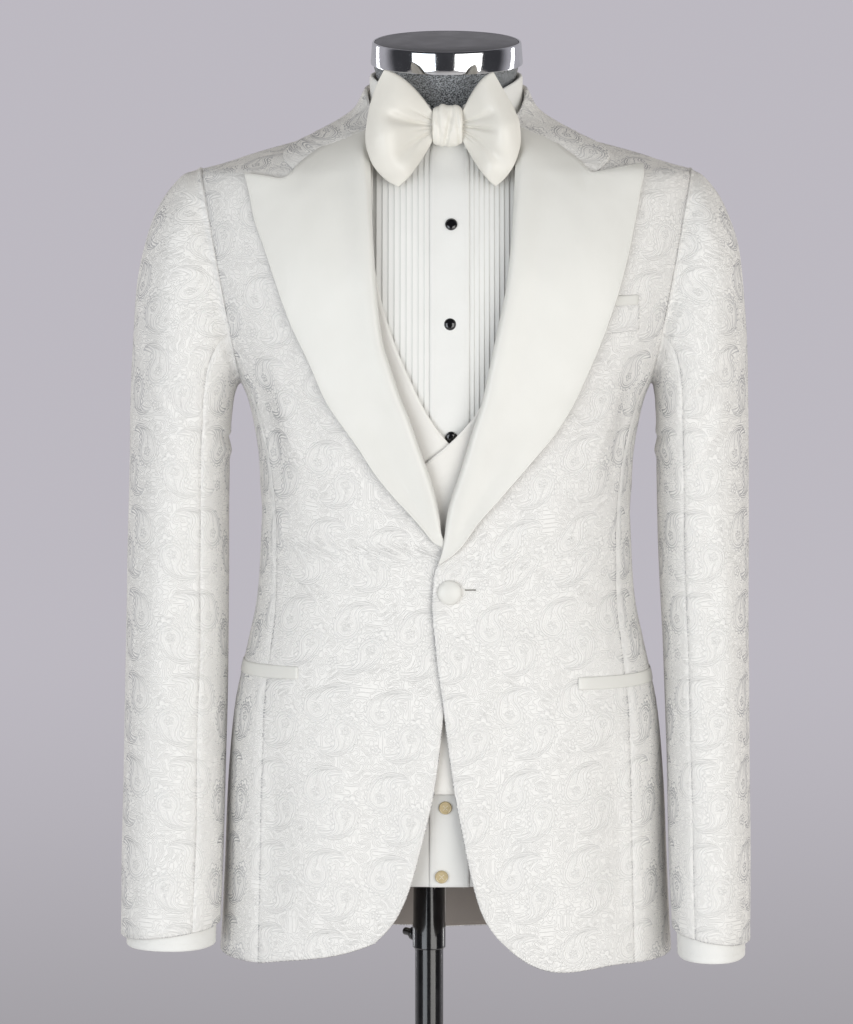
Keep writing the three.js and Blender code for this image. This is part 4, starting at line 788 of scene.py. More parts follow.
def makeSide(side):
    z = fine(jacket["seamLevels"], jacket["spacing"])[:, None]
    share = np.linspace(0, 1, 15)[None, :]
    ends = [float(curveAt(sideSeams, "z", name, jacket["seamMeet"])) for name in ("front", "back")]
    top = []
    for s in share[0]:
        target, low, high = mix(ends[0], ends[1], s), armholeBottom, jacket["seamMeet"] + 20
        for _ in range(40):
            middle = (low + high) / 2
            edge = planeAngle(jacketBody, armhole, middle, target < 90)
            covered = target > edge if target < 90 else target < edge
            low, high = (low, middle) if covered else (middle, high)
        top.append(0 if s in (0, 1) else jacket["seamMeet"] - low)
    level = z - np.array(top)[None, :] * ease(jacket["seamLevels"][0], jacket["seamMeet"], z)
    gap = math.degrees(seamGap / 2 / 160)
    degrees = side * mix(curveAt(sideSeams, "z", "front", level) + gap,
                         curveAt(sideSeams, "z", "back", level) - gap, share)
    flat = jacketPoint(-1, degrees, level, 0)
    toFront, toBack = seamDip(flat, 1)
    lift = folds(flat[..., 1], flat[..., 2], sideFolds) * ease(-3, 16, toFront) * ease(-3, 16, toBack)
    lift = lift + dipNear(toFront) + dipNear(toBack)
    outer, inner = panelWalls(-1, degrees, level, lift)
    uv = clothMap(outer)
    uv[..., 0] = side * (uv[..., 0] + frontArc(degrees[:, :1], level[:, :1]))
    obj = clothWall(f"side_{sideName[side]}", outer, inner, uv, looks["jacquard"], looks["paintedShadeLining"])
    edgePath(outer, inner, "bottom", 2.2)
    return place(obj, [f"jacket_side_{sideName[side]}"], "jacquard", cut=outer, restsOn=["form_torso"])


def makeBack(side):
    z = fine([*jacket["seamLevels"], 1400, 1450, 1485, armholeTop, 1515, 1527, 1537, 1546.5],
             jacket["spacing"])[:, None]
    share = np.linspace(0, 1, 48)[None, :]
    level = z - jacket["backHemDrop"] * share * (1 - ease(829, 880, z))
    gap = math.degrees(seamGap / 2 / 160)
    start = np.maximum(sideAngle("back", z), 90) + gap
    degrees = side * mix(start, 180 - gap, share)
    flat = jacketPoint(-1, degrees, level, 0)
    toSide, toCentre = seamDip(flat, 1)
    lift = folds(flat[..., 0], flat[..., 2], backFolds) + 0.8 * ripple(flat[..., 0], flat[..., 2], 160, 9)
    lift = lift * ease(-3, 16, toSide) + dipNear(toSide) + dipNear(toCentre)
    outer, inner = panelWalls(-1, degrees, level, lift)
    uv = clothMap(outer, -1)
    uv[..., 0] *= side
    obj = clothWall(f"back_{sideName[side]}", outer, inner, uv, looks["jacquard"], looks["paintedShadeLining"])
    edgePath(outer, inner, "bottom", 2.2)
    return place(obj, [f"jacket_back_{sideName[side]}"], "jacquard", cut=outer, restsOn=["form_torso"])


for side in (-1, 1):
    makeFront(side)
    makeSide(side)
    makeBack(side)
print("jacket body made")

# Lapels and collar
lapelEdge = {
    1: table(edgeColumns, [
        [1176.5, -5], [1183, 3], [1191.5, 11.9], [1212, 26], [1237, 47.3], [1260, 66.8], [1297, 95.6],
        [1338.5, 116.6],
        [1382, 134.3], [1423.5, 148], [1463, 157.3], [1506, 164.8],
    ]),
    -1: table(edgeColumns, [
        [1189, -4.2], [1196.6, -11.6], [1208, -20.6], [1220, -30.6], [1236, -44.8], [1254, -58.8],
        [1276.4, -72.8], [1313.5, -98],
        [1349, -114], [1379, -128.5], [1413, -141.5], [1441, -151.4], [1465.5, -160.3], [1484, -164.2],
        [1501, -167.8],
    ]),
}
gorge = {
    1: table(["x", "z"], [
        [62.5, 1538], [71, 1534.5], [83.4, 1528.7], [104.3, 1513.3], [122, 1503.5], [142.5, 1505.5],
        [164.8, 1506],
    ]),
    -1: table(["x", "z"], [
        [-68, 1534], [-76, 1531.5], [-85.7, 1527.9], [-106.8, 1517.3], [-137.9, 1498.4], [-153.2, 1499.7],
        [-167.8, 1501],
    ]),
}
lapelShape = {"share": [0, 0.08, 0.2, 0.4, 0.62, 0.8, 1], "overhang": 2.5, "roll": 3.2, "turn": 4.5,
              "stitchInset": 2.0}


def lapelPlace(side, share, level):
    edge, outEdge, seam = frontEdge[side], lapelEdge[side], gorge[side]
    low, tipZ, tipX = outEdge["z"][0], outEdge["z"][-1], outEdge["x"][-1]
    rollZ = mix(low, seam["z"][0], level)
    rollX = curveAt(edge, "z", "x", rollZ) - side * lapelShape["overhang"] * ease(0.02, 0.16, level)
    outZ = mix(low, tipZ, level)
    x = mix(rollX, curveAt(outEdge, "z", "x", outZ), share)
    z = mix(rollZ, outZ, share)
    shares = {"share": np.array(lapelShape["share"], float), "x": seam["x"], "z": seam["z"] - seamGap}
    pull = ease(0.72, 1, level) ** 1.5
    innerX = seam["x"][0] - side * lapelShape["overhang"]
    topX = curveAt(shares, "share", "x", share) - np.where(share <= 0, side * lapelShape["overhang"], 0)
    x = x + (topX - mix(innerX, tipX, share)) * pull
    z = z + (curveAt(shares, "share", "z", share) - mix(seam["z"][0], tipZ, share)) * pull
    return x, z


def makeLapel(side):
    level = fine([0, 0.05, 0.13, 0.23, 0.34, 0.45, 0.56, 0.67, 0.77, 0.86, 0.94, 1], 0.011)[:, None]
    share = np.concatenate([[0, 0.006, 0.013, 0.022, 0.033, 0.046], np.linspace(0.065, 0.985, 40),
                            [0.995, 1]])[None, :]
    tuck = ease(0.94, 1, level) * (1 - ease(0.5, 0.62, share))
    x, z = lapelPlace(side, share * (0.15 + 0.85 * ease(-0.004, 0.018, level)), level)
    z = z + (6 + 4 * (1 - ease(0, 0.3, share))) * tuck
    width = np.abs(lapelPlace(side, 1.0, level)[0] - lapelPlace(side, 0.0, level)[0])
    opening = ease(0, 0.12, level)
    fromRoll = share * width
    roll = lapelShape["roll"] * bell(fromRoll - 6, 9) * opening
    turnShare = np.clip(1 - fromRoll / lapelShape["turn"], 0, 1)
    turnIn = -(1 - np.sqrt(1 - turnShare**2 * 0.98)) * 4.2 * opening
    crest = 2.6 * ease(1482, 1500, z) * ease(135, 158, np.abs(x))
    belly = 1.1 * bell(share - 0.55, 0.25) * ease(0.05, 0.4, level) * (1 - ease(0.75, 1, level))
    wave = 0.45 * ripple(x, z, 130, 21 + side) * ease(0, 0.2, share) * (1 - ease(0.85, 1, share))
    spring = 2.2 * ease(0.55, 1, share) * ease(0.01, 0.12, level) * (1 - ease(0.6, 0.85, level))
    lift = layer["lapel"] + roll + turnIn + crest + belly + wave + spring
    lift = mix(lift, 0.6, tuck)
    degrees = angleAcross(jacketBody, x, z)
    outer = jacketPoint(side, degrees, z, lift + wall["lapel"])
    inner = jacketPoint(side, degrees, z, lift)
    name = sideName[side]
    obj = clothWall(f"lapel_{name}", outer, inner, clothMap(outer), looks["satin"])
    edgePath(outer, inner, "end", lapelShape["stitchInset"])
    edgePath(outer, inner, "top", lapelShape["stitchInset"], (0.55, 1.0))
    return place(obj, [f"lapel_{name}"], "satin", cut=outer, restsOn=[f"front_{name}"])


collarColumns = ["angle", "seamOut", "seamZ", "foldOut", "foldZ", "upperZ", "upperLift", "midZ", "midLift",
                 "edgeZ",
                 "edgeLift"]
collarKeys = table(collarColumns, [
    [56, 1.5, 1545.5, 4, 1549, 1536.5, 2.4, 1522, 1.3, 1501, 0.9],
    [90, 1.2, 1549, 4, 1571, 1542.3, 12.5, 1538, 7, 1531.6, 2.2],
    [180, 1, 1549.5, 3.2, 1578.5, 1541, 22, 1536.5, 12, 1525.5, 4.4],
])


def smoothStations(points, count):  # a spline through a few stations, passed through each of them
    padded = np.concatenate([2 * points[:, :1] - points[:, 1:2], points,
                             2 * points[:, -1:] - points[:, -2:-1]], 1)
    at = np.linspace(0, points.shape[1] - 1, count)
    i = np.minimum(at.astype(int), points.shape[1] - 2)
    t = (at - i)[None, :, None]
    p0, p1, p2, p3 = (padded[:, i + k] for k in range(4))
    return 0.5 * (2 * p1 + (p2 - p0) * t + (2 * p0 - 5 * p1 + 4 * p2 - p3) * t**2
                  + (3 * p1 - p0 - 3 * p2 + p3) * t**3)


def makeCollar():
    turns = fine([0, 0.07, 0.16, 0.26, 0.37, 0.52, 0.68, 0.84, 1], 0.028)
    places = [(1, t) for t in turns] + [(-1, t) for t in turns[:-1][::-1]]
    rows = []
    for side, turn in places:
        line = []
        for station in range(8):
            seam = gorge[side]
            pick = 0 if station < 5 else [1, 3, 4][station - 5]
            start = abs(float(angleAcross(jacketBody, seam["x"][pick],
                                          seam["z"][pick]))) + (0.1 if station < 5 else -0.1)
            degrees = mix(start, 180, turn)
            at = max(degrees, 56.0)
            key = {c: float(curveAt(collarKeys, "angle", c, at)) for c in collarColumns[1:]}
            neck = float(radiusAt(jacketBody, at, 1547))
            leaf = {n: (float(radiusAt(jacketBody, at, key[n + "Z"])), key[n + "Z"] + key[n + "Lift"])
                    for n in ("upper", "mid", "edge")}
            seamSpot = (neck + key["seamOut"] - 1, key["seamZ"])
            fold = (neck + key["foldOut"] - 1.2, key["foldZ"])
            standTop = (mix(seamSpot[0], fold[0], 0.45), mix(seamSpot[1], fold[1], 0.8))
            spots = [seamSpot, (mix(seamSpot[0], standTop[0], 0.5), mix(seamSpot[1], standTop[1], 0.5)),
                     standTop, fold,
                     (fold[0] + 1.7, fold[1] - 2.4), leaf["upper"], leaf["mid"], leaf["edge"]]
            radius, height = spots[station]
            angle = math.radians(side * degrees)
            line.append((radius * math.sin(angle), -radius * math.cos(angle), height))
        rows.append(line)
    centre = smoothStations(np.array(rows), 44)
    across = np.gradient(centre, axis=1)
    around = np.gradient(centre, axis=0)
    normal = unit(np.cross(around, across))
    outward = normal if (normal[len(rows) // 2, -1] @ np.array([0, 1, 0.2])) > 0 else -normal
    thick = np.array([mix(0.4, 1, ease(0, 0.06, turn)) for _, turn in places])[:, None, None] * wall["collar"]
    outer = centre + outward * thick / 2
    inner = centre - outward * thick / 2
    obj = clothWall("collar", outer, inner, clothMap(outer), looks["jacquard"])
    edgePath(outer, inner, "end", 2.0)
    return place(obj, ["jacket_collar"], "jacquard", cut=outer,
                 restsOn=["jacket_back_left", "jacket_back_right"])


for side in (-1, 1):
    makeLapel(side)
makeCollar()
print("lapels and collar made")

# Pockets
pockets = {
    "hipEnd": 93, "hipLift": 0.05, "weltLift": 0.1,
    "hipInner": {-1: (-126, 1086, 1076), 1: (112, 1078, 1068)},
    "hipOuter": {-1: (1081, 1071), 1: (1074, 1064)},
    "welt": [(78.5, 1392.3), (162, 1393.6), (162, 1372), (78.5, 1367)],
    "trim": [(78, 1400), (161.4, 1402), (161.4, 1394), (78, 1392.7)],
}


def makeStrip(name, node, side, corners, lift, look, slotName, crown=0.35):
    (d0, z0), (d1, z1), (d2, z2), (d3, z3) = corners
    up, share = np.linspace(0, 1, 9)[:, None], np.linspace(0, 1, 40)[None, :]
    degrees = mix(mix(d3, d0, up), mix(d2, d1, up), share)
    z = mix(mix(z3, z0, up), mix(z2, z1, up), share)
    puff = crown * np.sin(np.pi * np.clip(up, 0.02, 0.98)) ** 0.5
    outer = jacketPoint(side, degrees, z, lift + wall["welt"] * 0.6 + puff + 0 * share)
    inner = jacketPoint(side, degrees, z, lift + 0 * degrees)
    obj = clothWall(name, outer, inner, clothMap(outer), looks[look])
    return place(obj, [node], slotName, cut=outer, restsOn=[f"front_{sideName[side]}"])


def across(x, z):
    return float(angleAcross(jacketBody, x, z)), z


for side in (-1, 1):
    x, top, bottom = pockets["hipInner"][side]
    outTop, outBottom = pockets["hipOuter"][side]
    end = side * pockets["hipEnd"]
    makeStrip(f"hip_jet_{sideName[side]}", f"hip_pocket_jet_{sideName[side]}", side,
              [across(x, top), (end, outTop), (end, outBottom), across(x, bottom)], pockets["hipLift"],
              "satin", "satin")
makeStrip("breast_pocket", "breast_welt", 1, [across(*p) for p in pockets["welt"]], pockets["weltLift"],
          "jacquard",
          "jacquard")
makeStrip("breast_pocket_trim", "breast_welt_trim", 1, [across(*p) for p in pockets["trim"]],
          pockets["weltLift"],
          "satin", "satin")
print("pockets made")

# Sleeves
sleeveColumns = ["outerX", "outerZ", "innerX", "innerZ", "middleY", "halfDepth"]
sleeveRings = {
    -1: [
        [209.8, 1503.5, 176.4, 1321.5, 0, 57], [222.5, 1500, 178.4, 1318.5, 1, 62],
        [237, 1486, 180.4, 1314, 2, 66],
        [250, 1464, 182, 1308, 3, 69.5], [259, 1437, 183.2, 1301, 4, 71.5], [266, 1399, 184.6, 1290, 6, 72.5],
        [269, 1356, 185.8, 1275, 8, 71], [271.5, 1304, 186.6, 1252, 11, 68],
        [273.5, 1230, 187.2, 1205, 14, 64.5],
        [275.5, 1160, 187.6, 1150, 8, 62], [276.5, 1090, 188, 1085, -3, 59.5],
        [278, 1010, 189.6, 1010, -17, 57],
        [279.5, 930, 191, 935, -31, 54], [280, 849, 194, 860, -45, 50],
    ],
    1: [
        [209.8, 1503.5, 176.4, 1321.5, 0, 57], [218.5, 1499.5, 177.8, 1318.5, 1, 62.5],
        [231, 1486, 178.8, 1314, 2, 67],
        [242.5, 1464, 179.6, 1308, 3, 70.5], [251, 1437, 180.2, 1301, 4, 73],
        [255.5, 1399, 180.8, 1290, 5, 74.5],
        [258.3, 1360, 181, 1275, 7, 74], [259.8, 1304, 181.4, 1252, 9, 71.5],
        [261, 1230, 182.6, 1205, 10, 68.5],
        [261.4, 1160, 184.4, 1150, 3, 66], [261.2, 1090, 187.4, 1085, -12, 63],
        [261.4, 1010, 189.6, 1010, -28, 60],
        [262, 930, 191, 935, -44, 56.5], [261, 847, 194, 857, -60, 52],
    ],
}
sleeves = {"shirtInset": 8.5, "cuffInset": 4.6, "wristInset": 6.7, "cuffTop": 0.93, "armholeEase": -1.5,
           "underFrom": 118, "underTo": 242, "length": 660}
cuffHem = {-1: (841, 0.13), 1: (834, 0.2)}
# folds lie on the unrolled sleeve: degrees round it (0 outside, -90 front), and millimetres down it
upperFolds = {
    -1: [
        (-96, 70, -70, 190, 10, -1.8, 4), (-60, 40, -30, 170, 12, 1.1, 5), (-112, 300, -50, 352, 10, -2.0, 5),
        (-110, 352, -58, 330, 9, 1.4, -4), (-100, 400, -86, 560, 12, -1.3, 5), (60, 60, 84, 210, 13, -1.6, 4),
        (100, 310, 52, 356, 11, -1.6, -5), (10, 240, 24, 420, 18, 0.9, 5), (-20, 470, -8, 620, 16, -1.0, 4),
    ],
    1: [
        (-98, 66, -66, 200, 10, -1.9, -4), (-58, 44, -34, 176, 12, 1.2, 5),
        (-113, 290, -44, 340, 10, -2.2, -5),
        (-108, 366, -62, 338, 9, 1.5, 4), (-96, 392, -88, 575, 12, -1.4, -5), (62, 64, 86, 220, 13, -1.5, 4),
        (98, 322, 50, 350, 11, -1.7, 5), (14, 250, 4, 410, 18, 1.0, -5), (-14, 480, -26, 625, 16, -1.0, 4),
    ],
}


def sleevePoint(side, level, degrees, inset):
    rings = table(sleeveColumns, sleeveRings[side])
    rings["level"] = np.linspace(0, 1, len(sleeveRings[side]))
    ring = {c: curveAt(rings, "level", c, level) for c in sleeveColumns}
    angle = np.radians(degrees)
    outerEnd = np.stack(np.broadcast_arrays(side * ring["outerX"], ring["middleY"], ring["outerZ"]), -1)
    innerEnd = np.stack(np.broadcast_arrays(side * ring["innerX"], ring["middleY"], ring["innerZ"]), -1)
    chord = outerEnd - innerEnd
    half = np.linalg.norm(chord, axis=-1) / 2
    power = mix(2.35, 2.1, np.minimum(level * 3, 1))
    cos, sin = np.cos(angle), np.sin(angle)
    reach = np.sign(cos) * np.abs(cos) ** (2 / power) * (half - inset)
    depth = np.sign(sin) * np.abs(sin) ** (2 / power) * (ring["halfDepth"] - inset)
    share = (reach / (half - inset) + 1) / 2
    armZ = mix(armholeBottom, armholeTop, share)
    armDepth = np.maximum(planeDepth(jacketBody, armhole, armZ, sin < 0) - inset * np.abs(sin), 0)
    y = mix(ring["middleY"] + depth, np.sign(sin) * armDepth, 1 - ease(0, 0.16, level))
    point = (outerEnd + innerEnd) / 2 + unit(chord) * reach[..., None]
    point[..., 1] = y
    return point


def makeSleeve(side, part, start, end, columns):
    level = np.concatenate([np.linspace(0.0006, 0.2, 46, endpoint=False), np.linspace(0.2, 1, 118)])[:, None]
    degrees = np.linspace(start, end, columns)[None, :]
    down = level * sleeves["length"]
    lift = 0.7 * ripple(degrees * 1.2, down, 120, 31 + side) * ease(0.02, 0.15, level)
    if part == "upper_sleeve":
        lift = lift + folds(degrees, down, upperFolds[side]) * ease(0.01, 0.08,
                                                                    level) * (1 - 0.7 * ease(0.93, 1, level))
        head = np.sin(degrees * 0.21) * np.sin(degrees * 0.083 + 1) * 0.5
        lift = lift + head * bell(level - 0.02, 0.018)
    else:
        lift = lift + folds(degrees, down, [(130, 300, 222, 318, 9, -1.8, 5),
                                            (140, 350, 230, 334, 9, 1.2, -4)])
    flat = sleevePoint(side, level, degrees, 0.0)
    toStart, toEnd = seamDip(flat, 1)
    lift = lift + dipNear(toStart, 2.6, 0.6) + dipNear(toEnd, 2.6, 0.6) + 1.5 * bell(down - 9,
        6) + dipNear(down, 2, 0.5)
    shift = np.zeros(flat.shape)
    shift[..., 0] = side * sleeves["armholeEase"] * (1 - ease(0, 0.1, level))
    lift = np.minimum(lift, 3)
    outer = sleevePoint(side, level, degrees, -lift) + shift
    inner = sleevePoint(side, level, degrees, wall["jacket"] - lift * 0.8) + shift
    order = slice(None, None, -1)
    outer, inner = outer[order], inner[order]
    name = f"{part}_{sideName[side]}"
    obj = clothWall(name, outer, inner, clothMap(outer), looks["jacquard"], looks["paintedShadeLining"])
    edgePath(outer, inner, "bottom", 2.2)
    return place(obj, [name], "jacquard", cut=outer, restsOn=[f"front_{sideName[side]}", "form_torso"])


shirtArmhole = {"topX": 184, "topZ": 1500, "slope": 0.105}
shirtArmTop = planeEnd(formBody, shirtArmhole, 1440, 1499)
shirtArmBottom = planeEnd(formBody, shirtArmhole, 1400, 1290)


def makeShirtSleeve(side):
    level = np.linspace(0.02, 0.955, 60)[:, None]
    degrees = np.linspace(0, 360, 41)[None, :]
    inset = mix(sleeves["shirtInset"], sleeves["wristInset"], ease(0.85, 0.955, level))

    def grid(extra):
        angle = np.radians(degrees)
        half = (shirtArmTop - shirtArmBottom) / 2 - 3 - extra
        z = (shirtArmTop + shirtArmBottom) / 2 + np.cos(angle) * half
        depth = np.maximum(planeDepth(formBody, shirtArmhole, z, np.sin(angle) < 0) - extra, 0)
        start = np.stack([side * (planeX(shirtArmhole, z) + 3.4), np.sin(angle) * depth, z], -1)
        return np.concatenate([start, sleevePoint(side, level, degrees, inset + extra)], 0)[::-1]

    outer, inner = grid(0.0), grid(wall["shirt"])
    name = f"shirt_sleeve_{sideName[side]}"
    obj = clothWall(name, outer, inner, clothMap(outer), looks["cotton"], tube=True)
    return place(obj, [name], "shirt_cotton", cut=outer, restsOn=["form_torso"])


def makeCuff(side):
    hemZ, slope = cuffHem[side]
    degrees = np.linspace(0, 360, 73)[None, :]
    share = np.concatenate([np.linspace(0, 0.1, 5), np.linspace(0.13, 1, 20)])[:, None, None]

    def grid(inset):
        top = sleevePoint(side, np.array([[sleeves["cuffTop"]]]), degrees, inset)
        hem = sleevePoint(side, np.array([[1.0]]), degrees, inset)
        flat = hem.copy()
        flat[..., 1] = hem[..., 1] - slope * (hem[..., 2] - hemZ)
        flat[..., 2] = hemZ
        return mix(flat, top, share)

    puff = 0.35 * np.sin(np.radians(degrees) * 5 + side)[..., None]
    outer, inner = grid(sleeves["cuffInset"]), grid(sleeves["cuffInset"] + wall["shirt"])
    middle = outer.mean(1, keepdims=True)
    swell = unit((outer - middle) * np.array([1, 1, 0])) * puff
    outer, inner = outer + swell, inner + swell
    name = f"shirt_cuff_{sideName[side]}"
    obj = clothWall(name, outer, inner, clothMap(outer), looks["cotton"], tube=True)
    edgePath(outer, inner, "bottom", 5.5)
    return place(obj, [name], "shirt_cotton", cut=outer, restsOn=[f"upper_sleeve_{sideName[side]}"])


for side in (-1, 1):
    makeSleeve(side, "upper_sleeve", sleeves["underTo"] - 360 + 0.17, sleeves["underFrom"] - 0.17, 62)
    makeSleeve(side, "under_sleeve", sleeves["underFrom"] + 0.17, sleeves["underTo"] - 0.17, 30)
    makeShirtSleeve(side)
    makeCuff(side)
print("sleeves and cuffs made")

# Waistcoat
waistcoat = {"hem": 981, "studX": 4, "studZ": 1284, "overStud": 1.9}
waistcoatEdge = {
    -1: table(edgeColumns, [
        [981, 46], [1200, 46], [1240, 40], [1262, 20], [1278, 3], [1300, -14], [1327, -28], [1367, -45],
        [1413, -58],
        [1450, -62.5], [1500, -62], [1521, -60],
    ]),
    1: table(edgeColumns, [
        [981, -52], [1205, -52], [1240, -44], [1258.6, -22], [1278, 0.5], [1288.5, 11], [1306, 25.5],
        [1330, 37],
        [1367, 47], [1413, 57], [1450, 61], [1500, 61], [1521, 59],
    ]),
}
waistcoatSide = table(seamColumns, [
    [975, 90, 90], [1285, 90, 90], [1340, 80, 99], [1400, 73, 106.5], [1450, 72, 107.5], [1484, 78, 102],
    [1502, 86, 94], [1521, 89.6, 90.4],
])


def waistcoatLift(side, x, z):
    overStud = waistcoat["overStud"] * bell(np.hypot(x - waistcoat["studX"], z - waistcoat["studZ"]), 11)
    lap = layer["overlap"] * (1 - ease(52, 90, x)) * (1 - ease(1300, 1380, z)) if side > 0 else 0
    return layer["waistcoat"] + overStud + lap


def makeWaistcoatFront(side):
    z = fine([waistcoat["hem"], 1215, 1240, 1262, 1285, 1310, 1340, 1400, 1450, 1484, 1502, 1515], 5)[:, None]
    start = angleAcross(formBody, curveAt(waistcoatEdge[side], "z", "x", z), z)
    end = side * (curveAt(waistcoatSide, "z", "front", z) - 0.072)
    degrees = mix(start, end, np.linspace(0, 1, 44)[None, :])
    level = z + 0 * degrees
    x = onBody(formBody, degrees, level)[..., 0]
    lift = waistcoatLift(side, x, level) + 0.25 * ripple(x, level, 90, 41 + side)
    outer = offBody(formBody, degrees, level, lift + wall["waistcoat"])
    inner = offBody(formBody, degrees, level, lift)
    name = f"waistcoat_front_{sideName[side]}"
    obj = clothWall(name, outer, inner, clothMap(outer, -1), looks["waistcoat"])
    edgePath(outer, inner, "start", 2.5)
    edgePath(outer, inner, "bottom", 2.5)
    return place(obj, [name], "waistcoat_cloth", cut=outer, restsOn=["form_torso"])


def makeWaistcoatBack():
    z = fine([waistcoat["hem"], 1215, 1285, 1340, 1400, 1450, 1484, 1502, 1515], 6)[:, None]
    start = curveAt(waistcoatSide, "z", "back", z) + 0.072
    degrees = mix(start, 360 - start, np.linspace(0, 1, 70)[None, :])
    level = z + 0 * degrees
    outer = offBody(formBody, degrees, level, layer["waistcoat"] + wall["waistcoat"] + 0 * degrees)
    inner = offBody(formBody, degrees, level, layer["waistcoat"] + 0 * degrees)
    obj = clothWall("waistcoat_back", outer, inner, clothMap(outer, 35), looks["waistcoat"])
    return place(obj, ["waistcoat_back"], "waistcoat_cloth", cut=outer, restsOn=["form_torso"])


for side in (-1, 1):
    makeWaistcoatFront(side)
makeWaistcoatBack()
print("waistcoat made")

# Shirt
shirt = {
    "levels": [899, 985, 1215, 1285, 1340, 1400, 1450, 1484, 1502, 1515, 1531], "seam": 2.6,
    "placketEdge": {1: 19, -1: -13.8}, "pleatEdge": {1: 57, -1: -59}, "pleats": 9, "pleatDepth": 1.15,
}
shirtSide = table(seamColumns, [
    [899, 90, 90], [1285, 90, 90], [1340, 83.5, 97], [1400, 75.5, 105.3], [1450, 74.5, 106.3],
    [1484, 79, 101.5],
    [1502, 87, 93], [1515, 90, 90], [1533, 90, 90],
])


def makeShirtFront(side):
    z = fine(shirt["levels"], 6)[:, None]
    first, last = shirt["placketEdge"][side], shirt["pleatEdge"][side]
    width = (last - first) / shirt["pleats"]
    xs, lifts = [shirt["seam"] + side * seamGap / 2, first], [0.0, 0.0]
    for i in range(shirt["pleats"]):
        for share, rise in ((0.05, 0.02), (0.35, 0.3), (0.7, 0.72), (0.86, 0.93), (0.93, 1.0)):
            xs.append(first + width * (i + share))
            lifts.append(rise)
        xs.append(first + width * (i + 1) - side * 0.1)
        lifts.append(0.05)
    xs, lifts = np.array(xs)[None, :], np.array(lifts)[None, :]
    narrow = mix(1, 0.8, ease(1512, 1533, z))
    shown = ease(1120, 1200, z) * (1 - ease(1505, 1530, z))
    bib = angleAcross(formBody, xs * narrow, z + 0 * xs)
    end = side * (curveAt(shirtSide, "z", "front", z) - 0.072)
    rest = mix(bib[:, -1:], end, np.linspace(0, 1, 16)[None, 1:])
    degrees = np.concatenate([bib, rest], 1)
    level = z + 0 * degrees
    lift = np.concatenate([lifts * shirt["pleatDepth"] * shown, 0 * rest], 1)
    lift = lift + 0.15 * ripple(degrees * 3, level, 60, 51 + side)
    outer = offBody(formBody, degrees, level, layer["shirt"] + wall["shirt"] + lift)
    inner = offBody(formBody, degrees, level, layer["shirt"] + 0 * lift)
    name = f"shirt_front_{sideName[side]}"
    obj = clothWall(name, outer, inner, clothMap(outer, 1), looks["cotton"])
    return place(obj, [name], "shirt_cotton", cut=outer, restsOn=["form_torso"])


def makeShirtBack():
    z = fine(shirt["levels"], 7)[:, None]
    start = curveAt(shirtSide, "z", "back", z) + 0.072
    degrees = mix(start, 360 - start, np.linspace(0, 1, 60)[None, :])
    level = z + 0 * degrees
    outer = offBody(formBody, degrees, level, layer["shirt"] + wall["shirt"] + 0 * degrees)
    inner = offBody(formBody, degrees, level, layer["shirt"] + 0 * degrees)
    obj = clothWall("shirt_back", outer, inner, clothMap(outer, 30), looks["cotton"])
    return place(obj, ["shirt_back"], "shirt_cotton", cut=outer, restsOn=["form_torso"])


def makePlacket():
    z = fine(shirt["levels"], 5)[:, None]
    x = np.linspace(shirt["placketEdge"][-1], shirt["placketEdge"][1], 15)[None, :]
    degrees = angleAcross(formBody, x * mix(1, 0.8, ease(1512, 1533, z)), z + 0 * x)
    level = z + 0 * degrees
    lift = layer["placket"] + wall["placket"] + 0.12 * ripple(x, level, 70, 61)
    outer = offBody(formBody, degrees, level, lift)
    inner = offBody(formBody, degrees, level, layer["placket"] + 0 * degrees)
    obj = clothWall("placket", outer, inner, clothMap(outer), looks["cotton"])
    edgePath(outer, inner, "start", 4.2)
    edgePath(outer, inner, "end", 4.2)
    return place(obj, ["shirt_placket"], "shirt_cotton", cut=outer,
                 restsOn=["shirt_front_left", "shirt_front_right"])


shirtCollarColumns = ["angle", "standOut", "standZ", "foldOut", "foldZ", "leafOut", "leafZ"]
shirtCollarKeys = table(shirtCollarColumns, [
    [14, 3.6, 1541, 7, 1560, 12.4, 1524], [40, 3.6, 1543, 8, 1568, 13.8, 1534],
    [60, 3.2, 1546, 8.3, 1576, 9.6, 1551],
    [90, 3, 1547, 8.5, 1583.5, 9.2, 1551], [180, 3, 1548, 8, 1590, 9.5, 1553],
])


def makeShirtCollar():
    rows = []
    for angle in np.linspace(15, 345, 111):
        fromFront = min(angle, 360 - angle)
        key = {c: float(curveAt(shirtCollarKeys, "angle", c, fromFront)) for c in shirtCollarColumns[1:]}
        neck = float(radiusAt(formBody, fromFront, 1558))
        stand, fold, leaf = ((neck + key[n + "Out"], key[n + "Z"]) for n in ("stand", "fold", "leaf"))
        turnedOver = (fold[0] + 1.3, fold[1] - 2.6)
        spots = [stand, (mix(stand[0], fold[0] - 1.5, 0.25), mix(stand[1], fold[1], 0.5)),
                 (fold[0] - 1.5, fold[1] - 3.2),
                 fold, turnedOver, (mix(turnedOver[0], leaf[0], 0.6), mix(turnedOver[1], leaf[1], 0.5)), leaf]
        a = math.radians(angle)
        rows.append([(r * math.sin(a), -r * math.cos(a), h) for r, h in spots])
    centre = smoothStations(np.array(rows), 34)
    normal = unit(np.cross(np.gradient(centre, axis=0), np.gradient(centre, axis=1)))
    outward = normal if normal[55, -1, 1] > 0 else -normal
    outer, inner = centre + outward * wall["shirt"] / 2, centre - outward * wall["shirt"] / 2
    obj = clothWall("shirt_collar", outer, inner, clothMap(outer), looks["cotton"])
    edgePath(outer, inner, "end", 5.0)
    return place(obj, ["shirt_collar"], "shirt_cotton", cut=outer, restsOn=["form_torso"])


for side in (-1, 1):
    makeShirtFront(side)
makeShirtBack()
makePlacket()
makeShirtCollar()
print("shirt made")

